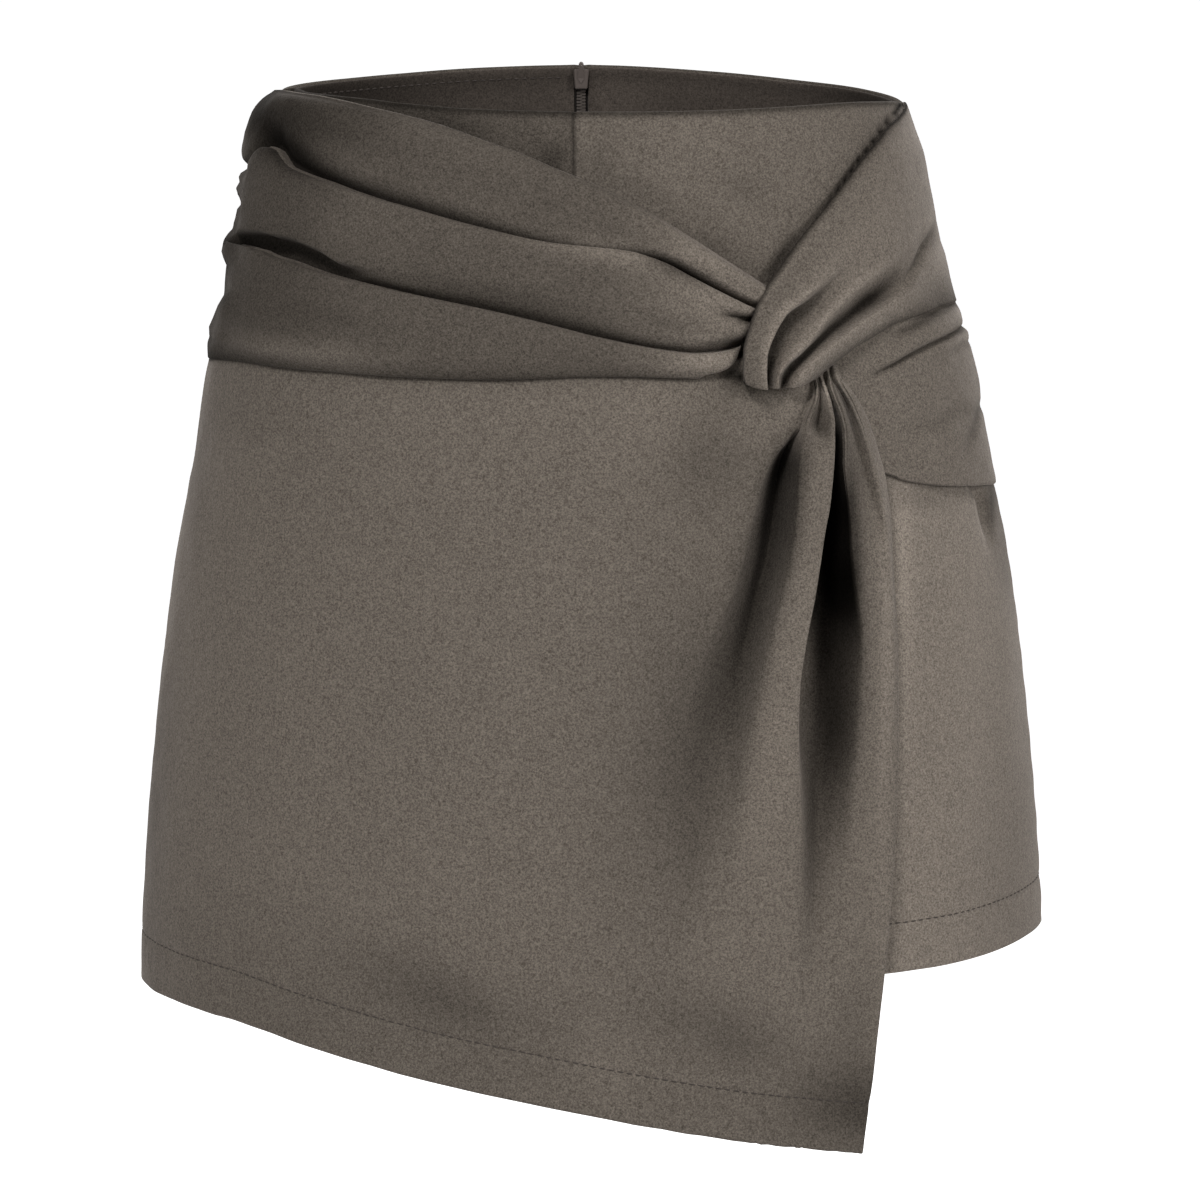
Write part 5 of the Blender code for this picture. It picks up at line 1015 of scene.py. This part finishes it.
def shorts_surface(hand, side, inset):
    tau_rows = CROTCH_START_Z - (CROTCH_START_Z - CROTCH_Z) * np.sin(np.linspace(0, math.pi / 2, 26))
    level = np.concatenate([[0, -0.5, -1.2, -2.4], np.linspace(-4, -166, 44), tau_rows, np.linspace(-267, -349.5, 34), [-350.8, -351.6, -352.0]])
    s = np.concatenate([[0, 0.006, 0.015], np.linspace(0.03, 0.97, 76), [0.985, 0.994, 1.0]])
    top = column(WAIST_FRONT if side < 0 else WAIST_BACK, 1, hand * 90.0 * s)
    z = level[:, None] + top[None] * (1 - smoothstep(-level, 0, 90))[:, None] - HEM_DIP * np.sin(math.pi * s)[None] * smoothstep(-level, 275, 352)[:, None]
    if hand > 0:
        z = z + HEM_RISE * (s**2)[None] * smoothstep(-level, 255, 352)[:, None]
    S = np.broadcast_to(s, z.shape)
    in_h = np.where(z > CROTCH_Z, inset * smoothstep(S, 0.0, 0.3), inset)
    if side < 0:
        covered = 1 - smoothstep(S, 0.6, 1.0) if hand < 0 else 1 - smoothstep(S, 0.3, 0.42)
        in_h = in_h + UNDER_OVERLAY * covered * smoothstep(-z, 96, 128)
    half_w = column(FORM, 1, z) - inset * smoothstep(S, 0.0, 0.3)
    depth = column(FORM, 2 if side < 0 else 3, z) - in_h
    power = column(FORM, 4, z)
    start = seam_x(side, z) + hand * SEAM_GAP / 2
    x_hip = start + (hand * half_w - start) * np.sin(math.pi / 2 * S)
    y_hip = side * depth * np.maximum(1 - (x_hip / half_w) ** 2, 0.0) ** (power / 2)
    below = np.clip(np.maximum(0.0, CROTCH_Z - z) / (CROTCH_Z - LEG_HEM_Z), 0, 1)
    inner_x = SEAM_GAP / 2 + LEG_GAP_AT_HEM / 2 * below**0.7
    middle, width = (inner_x + half_w) / 2, (half_w - inner_x) / 2
    leg_depth = (LEG_DEPTH_FRONT if side < 0 else LEG_DEPTH_BACK) - 2 * inset
    x_leg = hand * (middle - width * np.cos(math.pi * S))
    y_leg = side * leg_depth * np.clip(np.sin(math.pi * S), 0, 1) ** LEG_POWER
    tau = np.clip((CROTCH_START_Z - z) / (CROTCH_START_Z - CROTCH_Z), 0, 1)
    at_seam = 1 - np.sqrt(1 - tau * tau)
    at_side = smoothstep(-z, 100, 330)
    mix = smoothstep(S, 0.0, 0.4)
    k = at_seam * (1 - mix) + at_side * mix
    x, y = x_hip * (1 - k) + x_leg * k, y_hip * (1 - k) + y_leg * k
    points = np.stack([x, side * np.maximum(side * y, SEAM_GAP / 2), z], -1)
    return points, S, level


def shorts_normal(points, hand, side, level):
    toward = np.zeros_like(points)
    toward[..., 0], toward[..., 1] = hand * 0.3, side
    n = grid_normals(points, toward * np.linspace(0.2, 1, points.shape[1])[None, :, None] ** 0.2)
    crotch = int(np.argmin(np.abs(level - CROTCH_Z)))
    n[:crotch, 0, 0] = 0.0
    n[crotch, 0] = (0.0, 0.0, -1.0)
    n[crotch + 1 :, 0] = (-hand, 0.0, 0.0)
    n[:, -1, 1] = 0.0
    n[0, :, 2] = 0.0
    n[-1, :, 2] = 0.0
    return unit(n)


SHORTS_FOLDS = {
    # (hand, side): lines in the front or back view as (x, z) mm, width, depth, ends
    (1, -1): (
        (((156, -158), (160.5, -163), (162.8, -174), (165.2, -190)), 1.7, 3.4, (0.01, 0.5)),
        (((140, -170), (138, -220), (136, -300)), 9.0, 0.9, (0.3, 0.4)),
        (((168, -190), (172, -240), (173, -300)), 5.0, -0.8, (0.3, 0.4)),
        (((150, -250), (149, -300), (150, -345)), 7.0, -0.7, (0.4, 0.2)),
        (((20, -225), (34, -246), (52, -262), (78, -270)), 5.0, 1.2, (0.1, 0.6)),
    ),
    (-1, -1): (
        (((-20, -225), (-34, -246), (-52, -262), (-78, -270)), 5.0, 1.2, (0.1, 0.6)),
        (((-90, -270), (-92, -345)), 12.0, -0.8, (0.4, 0.1)),
    ),
    (1, 1): (
        (((52, -2), (50, -45), (47, -92)), 1.1, 0.7, (0.02, 0.25)),
        (((14, -206), (34, -224), (62, -236), (96, -240), (130, -234)), 10.0, 1.3, (0.2, 0.5)),
        (((20, -288), (44, -292), (76, -296)), 9.0, 0.8, (0.3, 0.6)),
        (((14, -150), (46, -172), (84, -182)), 9.0, 0.9, (0.1, 0.6)),
        (((70, -285), (74, -348)), 9.0, -1.3, (0.4, 0.1)),
        (((128, -262), (134, -346)), 10.0, 1.1, (0.5, 0.1)),
        (((178, -120), (150, -132), (120, -138)), 8.0, 0.9, (0.05, 0.6)),
        (((176, -176), (150, -186), (116, -196)), 9.0, 0.9, (0.05, 0.6)),
    ),
    (-1, 1): (
        (((-60, -2), (-57, -46), (-54, -95)), 1.1, 0.7, (0.02, 0.25)),
        (((-14, -210), (-32, -226), (-64, -238), (-98, -239), (-128, -230)), 10.0, 1.2, (0.2, 0.5)),
        (((-18, -290), (-46, -295), (-66, -298)), 10.0, 0.6, (0.3, 0.9)),
        (((-14, -140), (-50, -166), (-92, -172)), 9.0, 0.8, (0.1, 0.6)),
        (((-84, -286), (-80, -348)), 11.0, -0.8, (0.8, 0.1)),
        (((-138, -270), (-140, -346)), 10.0, 0.9, (0.5, 0.1)),
        (((-148, -34), (-124, -40), (-96, -42)), 5.0, 1.1, (0.05, 0.7)),
        (((-152, -62), (-128, -66), (-100, -72)), 5.5, 1.2, (0.05, 0.7)),
        (((-160, -90), (-132, -96), (-108, -106)), 6.0, 1.0, (0.05, 0.7)),
        (((-178, -200), (-150, -206), (-118, -222)), 9.0, 0.8, (0.05, 0.6)),
    ),
}


def covered_depth(points, side):
    """How far the front is pushed in where the wrap's deep folds lie on it, in mm."""
    if side > 0:
        return np.zeros(points.shape[:2])
    size, x0, z0 = 2.0, -200.0, -440.0
    floor_y = np.full((int(400 / size), int(450 / size)), -1e3)
    for _, cover in front_cover:
        i, k = ((cover[..., 0] - x0) / size).astype(int), ((cover[..., 2] - z0) / size).astype(int)
        np.maximum.at(floor_y, (np.clip(i, 0, floor_y.shape[0] - 1), np.clip(k, 0, floor_y.shape[1] - 1)), cover[..., 1])
    for _ in range(3):
        p = np.pad(floor_y, 1, mode="edge")
        floor_y = np.maximum.reduce([p[a : a + floor_y.shape[0], b : b + floor_y.shape[1]] for a in range(3) for b in range(3)])
    i = np.clip(((points[..., 0] - x0) / size).astype(int), 0, floor_y.shape[0] - 1)
    k = np.clip(((points[..., 2] - z0) / size).astype(int), 0, floor_y.shape[1] - 1)
    push = np.clip(floor_y[i, k] + 1.2 - points[..., 1], 0, 26)
    return blur(np.maximum(push, 0)[..., None], 3)[..., 0]


def make_shorts(word_side, word_hand, hand, side, inset):
    points, s, level = shorts_surface(hand, side, inset)
    points[:, 3:-3, 1] += covered_depth(points, side)[:, 3:-3]
    n = shorts_normal(points, hand, side, level)
    h = np.zeros(points.shape[:2])
    for line, width, depth, ends in SHORTS_FOLDS[(hand, side)]:
        h += trough(points[..., 0], points[..., 2], line, width, depth, ends)
    arc = np.cumsum(np.linalg.norm(np.diff(points, axis=1, prepend=points[:, :1]), axis=-1), axis=1)
    to_centre, to_side = arc, arc[:, -1:] - arc
    h -= 0.55 * np.exp(-((to_centre / 1.3) ** 2)) + 0.55 * np.exp(-((to_side / 1.3) ** 2))
    h += 0.25 * np.exp(-(((to_centre - 3.4) / 1.8) ** 2)) * (1 + np.sin(points[..., 2] * 0.42))
    h += 0.22 * np.exp(-(((to_side - 3.4) / 1.8) ** 2)) * (1 + np.sin(points[..., 2] * 0.37 + hand))
    fade = smoothstep(to_centre, 0, 14) * smoothstep(to_side, 0, 14) * smoothstep(-level, 0, 10)[:, None]
    h += fade * waves(points[..., 0] * 0.4, points[..., 2], 31 + hand + 5 * side, ((0.30, 0.02, 0.006), (0.18, 0.06, 0.016), (0.10, 0.12, 0.03)))
    hem_here = points[-1:, :, 2]
    up = points[..., 2] - hem_here
    h -= 0.4 * np.exp(-(((up - HEM_TURN) / 1.2) ** 2))
    h += 0.14 * np.sin(arc * 0.8 + 3 * np.sin(arc * 0.13)) * np.exp(-(((up - 12) / 8) ** 2))
    if hand > 0:
        h += 1.1 * smoothstep(s, 0.55, 1.0) * smoothstep(points[..., 2], -152, -186)
    if side < 0:
        h *= np.where((s < 0.55 if hand < 0 else s < 0.30) & (level[:, None] < -96) & (level[:, None] > -352), 0.4, 1.0)
    # painted light and shade: the left front panel painted darker with its spots; the right front panel lighter below
    # the sash, with its spots
    painted_shading = np.ones(h.shape)
    if side < 0:
        x, z = points[..., 0], points[..., 2]
        if hand < 0:
            painted_shading = np.full(h.shape, 0.60) * painted_spots(x, z, LEFT_PANEL_PAINTED_SPOTS)
            h = np.minimum(h, 0.1)
        else:
            low = smoothstep(-z, 140, 170) * (1 - 0.55 * smoothstep(x, 150, 189))
            painted_shading = (0.94 * (1 - low) + 1.42 * low) * painted_spots(x, z, RIGHT_PANEL_PAINTED_SPOTS)
            # a painted shadow along the sash's rolled edge, over a shallow groove
            d, share, above = line_distance(x, z, SASH_GAP)
            painted_shading *= 1 - 0.86 * np.exp(-((d / 1.5) ** 2))
            h -= 1.2 * np.exp(-((d / 2.0) ** 2))
            h += trough(x, z, ((63, -22), (61, -30), (58, -38)), 7.0, 0.8) + trough(x, z, ((44, -61), (52, -54), (62, -49)), 5.0, 0.9)
    outer = points + n * h[..., None]
    outer[:, 0, 0] = points[:, 0, 0]
    outer[:, -1, 1] = points[:, -1, 1]
    inner = points - n * np.maximum(WALL, 0.6 - h)[..., None]
    name = f"shorts_{word_side}_{word_hand}"
    painted_shading *= 1 - 0.45 * np.exp(-((to_centre / 1.0) ** 2)) - 0.3 * np.exp(-((to_side / 1.0) ** 2))
    painted_shading *= 1 - 0.62 * np.exp(-((level[:, None] / 1.6) ** 2))
    obj = shell(name + "_cloth", outer, inner, CLOTH, painted_shading)
    return obj, name, outer, inner, n, up


shorts = {}
for side, word_side in ((-1, "front"), (1, "back")):
    for hand, word_hand in ((-1, "left"), (1, "right")):
        obj, name, outer, inner, n, up = make_shorts(word_side, word_hand, hand, side, LEFT_INSET if (hand, side) == (-1, -1) else 0.0)
        crotch = int(outer.shape[0] * 0.66)
        points, ns = row_at(outer[crotch:], n[crotch:], up[crotch:], HEM_TURN, range(1, outer.shape[1]))
        row = stitches(name + "_hem_stitches", [dict(points=points, normals=ns)], THREAD)
        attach(row, BODY)
        if side > 0:
            pass
        done(obj, [name])
        shorts[(hand, side)] = (outer, inner, n)


# ---------------------------------------------------------------- back facing
def facing_surface(hand):
    outer, inner, n = shorts[(hand, 1)]
    count = int(np.searchsorted(-inner[:, 40, 2], FACING_DEPTH)) + 1
    rows = inner[:count].copy()
    radial = unit(rows * np.array([1.0, 1.0, 0.0]))
    face = rows - radial * 1.3
    cols = face.shape[1]
    keep = np.abs(face[0, :, 0] - CB_SEAM_X) > 3.4
    face = face[:, keep]
    radial = radial[:, keep]
    face[:, 0, 0] = CB_SEAM_X + hand * 3.4
    drop = np.linspace(0, 1, count)[:, None]
    face[..., 2] -= 0.6 * (1 - drop)
    z = face[..., 2]
    px = face[..., 0]
    edge = 0.45 * np.exp(-(((z - z[:1] + 4.0) / 1.0) ** 2))
    ripple = 0.25 * np.sin(px * 0.16 + hand) * smoothstep(-z, 4, 26) + 0.15 * np.sin(px * 0.45)
    top = face + radial * (edge + ripple * 0.6)[..., None]
    top[..., :2] = top[..., :2]
    back = face + radial * 0.0 - radial * 0.0
    inside = face - radial * FACING_WALL + radial * (edge + ripple * 0.6)[..., None]
    return top, inside, radial


for hand, word in ((-1, "left"), (1, "right")):
    outside, inside, radial = facing_surface(hand)
    # painted light and shade on the facing: darker towards both sides and along the top, lighter near the zip
    painted_shading = painted_spots(outside[..., 0], outside[..., 2], ((-110, -12, 46, 20, 0, 0.42), (125, -12, 24, 20, 0, 0.50), (-40, -5, 60, 3.5, 2, 0.75), (6, -14, 15, 12, 0, 1.22), (80, -14, 30, 14, 0, 1.10)))
    obj = shell(f"facing_back_{word}_cloth", outside, inside, INSIDE_PAINTED_SHADE, painted_shading / 0.85, both=True)
    depth_of = inside[:1, :, 2] - inside[..., 2]
    points, ns = row_at(inside, -radial, -depth_of, -4.0, range(1, inside.shape[1] - 1))
    if hand < 0:
        row = stitches("facing_edge_stitches_left", [dict(points=points, normals=ns, length=2.3, gap=1.3, radius=0.36, lift=0.2)], THREAD)
        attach(row, BODY)
    done(obj, [f"facing_back_{word}"])

# ---------------------------------------------------------------- zip
for word in ("left", "right"):
    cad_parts[f"zip_tape_{word}"].data.materials.clear()
    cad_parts[f"zip_tape_{word}"].data.materials.append(TAPE)
    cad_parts[f"zip_coil_{word}"].data.materials.clear()
    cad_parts[f"zip_coil_{word}"].data.materials.append(COIL)
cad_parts["zip_pull"].data.materials.clear()
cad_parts["zip_pull"].data.materials.append(METAL)

# the slider: its body narrows downwards, the bridge rises to a rounded point and reaches over the waist edge to the eye
cad_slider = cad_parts["zip_slider"]
slider_low, slider_high = (v * 1000 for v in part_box("zip_slider"))
slider_mesh = cad_slider.data.copy()
slider_mesh.name = "zip_slider_shape"
body_top = slider_high.z - 3.0
for v in slider_mesh.vertices:
    x, y, z = (v.co[0] * 1000, v.co[1] * 1000, v.co[2] * 1000)
    if abs(x - CB_SEAM_X) > 1.2:
        share = min(max((z - slider_low.z) / max(body_top - slider_low.z, 1.0), 0.0), 1.0)
        x = CB_SEAM_X + (x - CB_SEAM_X) * (0.80 + 0.20 * share)
    elif z > slider_high.z - 0.8:
        x = CB_SEAM_X + (x - CB_SEAM_X) * 0.45
    v.co = (x * 0.001, v.co[1], v.co[2])
slider_mesh.materials.clear()
slider_mesh.materials.append(METAL)
slider = bpy.data.objects.new("zip_slider_shape", slider_mesh)
bpy.context.scene.collection.objects.link(slider)
bevel = slider.modifiers.new("soft edges", "BEVEL")
bevel.width, bevel.segments, bevel.limit_method = 0.00035, 2, "ANGLE"
verts, faces = [], []
crest = ((-1.5, -3.4, 0.0), (0.0, -5.6, 0.35), (1.5, -3.4, 0.0), (0.9, 1.2, 0.9), (0.0, 2.2, 1.0), (-0.9, 1.2, 0.9))
face_y = slider_low.y
for dx, dz, out in crest:
    verts.append((CB_SEAM_X + dx, face_y - 0.25 - 0.55 * out, min(body_top + dz, slider_high.z - 0.1)))
for dx, dz, out in crest:
    verts.append((CB_SEAM_X + dx, face_y + 0.5, min(body_top + dz, slider_high.z - 0.1)))
faces.append(tuple(range(5, -1, -1)))
faces.append(tuple(range(6, 12)))
faces += [(k, (k + 1) % 6, 6 + (k + 1) % 6, 6 + k) for k in range(6)]
ridge = mesh_object("zip_slider_ridge", np.array(verts), faces, METAL, smooth=False)
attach(ridge, BODY)
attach(slider, BODY)
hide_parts("zip_slider")

verts, faces = [], []
for hand, word in ((-1, "left"), (1, "right")):
    low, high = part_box(f"zip_coil_{word}")
    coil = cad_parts[f"zip_coil_{word}"].data
    co = np.array([v.co for v in coil.vertices]) * 1000
    zs = np.arange(high.z * 1000 - 0.5, low.z * 1000 + 1.0, -1.35)
    front = co[np.argsort(co[:, 1])]
    for k, z in enumerate(zs):
        near = co[np.abs(co[:, 2] - z) < 14]
        y = near[:, 1].min() if len(near) else co[:, 1].min()
        levels = np.unique(np.round(co[:, 2], 3))
        ys = [co[np.abs(co[:, 2] - l) < 0.01][:, 1].min() for l in levels]
        y = float(np.interp(z, levels, ys))
        x0, x1 = CB_SEAM_X + hand * 0.2 - hand * 0.55, CB_SEAM_X + hand * 1.9
        base = len(verts)
        for dz in (-0.36, 0.36):
            for x in (x0, x1):
                for dy in (-0.55, 0.25):
                    verts.append((x, y + dy, z + dz + (0.34 if hand > 0 else -0.34)))
        for f in ((0, 1, 3, 2), (4, 6, 7, 5), (0, 4, 5, 1), (2, 3, 7, 6), (0, 2, 6, 4), (1, 5, 7, 3)):
            faces.append(tuple(base + v for v in f))
teeth = mesh_object("zip_teeth", np.array(verts), faces, COIL, smooth=False)
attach(teeth, BODY)

# ---------------------------------------------------------------- room, light, camera
def box_light(name, place, target, size, power, colour):
    data = bpy.data.lights.new(name, "AREA")
    data.shape, data.size, data.size_y, data.energy, data.color = "RECTANGLE", size[0], size[1], power, colour
    obj = bpy.data.objects.new(name, data)
    bpy.context.scene.collection.objects.link(obj)
    obj.location = place
    obj.rotation_mode = "QUATERNION"
    obj.rotation_quaternion = (Vector(target) - Vector(place)).to_track_quat("-Z", "Y")
    return obj


floor_material = bpy.data.materials.new("pale_floor")
floor_material.use_nodes = True
floor_shader = floor_material.node_tree.nodes["Principled BSDF"]
floor_shader.inputs["Base Color"].default_value = (0.9, 0.9, 0.9, 1)
floor_shader.inputs["Roughness"].default_value = 1.0
floor_shader.inputs["Specular IOR Level"].default_value = 0.0
floor_shader.inputs["Emission Color"].default_value = (1, 1, 1, 1)
# the far part of the floor, behind the garment, is lit up to white
floor_place = floor_material.node_tree.nodes.new("ShaderNodeTexCoord")
floor_axes = floor_material.node_tree.nodes.new("ShaderNodeSeparateXYZ")
floor_range = floor_material.node_tree.nodes.new("ShaderNodeMapRange")
floor_range.inputs["From Min"].default_value, floor_range.inputs["From Max"].default_value = 1.2, 2.2
floor_range.inputs["To Min"].default_value, floor_range.inputs["To Max"].default_value = 0.0, 1.0
floor_material.node_tree.links.new(floor_place.outputs["Object"], floor_axes.inputs["Vector"])
floor_material.node_tree.links.new(floor_axes.outputs["Y"], floor_range.inputs["Value"])
floor_material.node_tree.links.new(floor_range.outputs["Result"], floor_shader.inputs["Emission Strength"])
mesh = bpy.data.meshes.new("floor")
mesh.from_pydata([(-9, -3, -1.05), (9, -3, -1.05), (9, 24, -1.05), (-9, 24, -1.05)], [], [(0, 1, 2, 3)])
floor = bpy.data.objects.new("floor", mesh)
mesh.materials.append(floor_material)
bpy.context.scene.collection.objects.link(floor)
floor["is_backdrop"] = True

world = bpy.data.worlds.new("studio")
bpy.context.scene.world = world
world.use_nodes = True
world.node_tree.nodes["Background"].inputs["Color"].default_value = (1.0, 1.0, 1.0, 1)
world.node_tree.nodes["Background"].inputs["Strength"].default_value = 0.06

target = Vector((0.0, -0.05, -0.18))


def softbox(name, azimuth, elevation, distance, size, power, colour):
    """azimuth: 0 is straight in front, + towards the right."""
    a, e = math.radians(azimuth), math.radians(elevation)
    place = target + distance * Vector((math.sin(a) * math.cos(e), -math.cos(a) * math.cos(e), math.sin(e)))
    return box_light(name, place, target, size, power, colour)


softbox("key", -12, 46, 3.0, (0.7, 0.7), 52.5, (1.0, 0.985, 0.98))
softbox("right", 60, 20, 2.6, (0.8, 1.0), 26.5, (1.0, 0.99, 0.99))
softbox("left", -44, 14, 2.6, (0.9, 1.0), 9.0, (0.98, 0.99, 1.0))
softbox("back_right", 158, 26, 3.0, (1.2, 1.2), 42.0, (1.0, 0.995, 0.99))
softbox("back_left", -162, 26, 3.0, (1.2, 1.2), 36.0, (1.0, 0.995, 0.99))

camera_data = bpy.data.cameras.new("camera")
camera_data.lens, camera_data.sensor_width = 232.7, 36.0
camera_data.clip_start, camera_data.clip_end = 0.1, 100.0
camera = bpy.data.objects.new("camera", camera_data)
bpy.context.scene.collection.objects.link(camera)
camera.location = (0.0038, -3.2, 0.297)
camera.rotation_euler = (math.radians(90 - 9.06), 0, 0)
bpy.context.scene.camera = camera
bpy.context.scene.view_settings.view_transform = "Standard"

low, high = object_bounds()
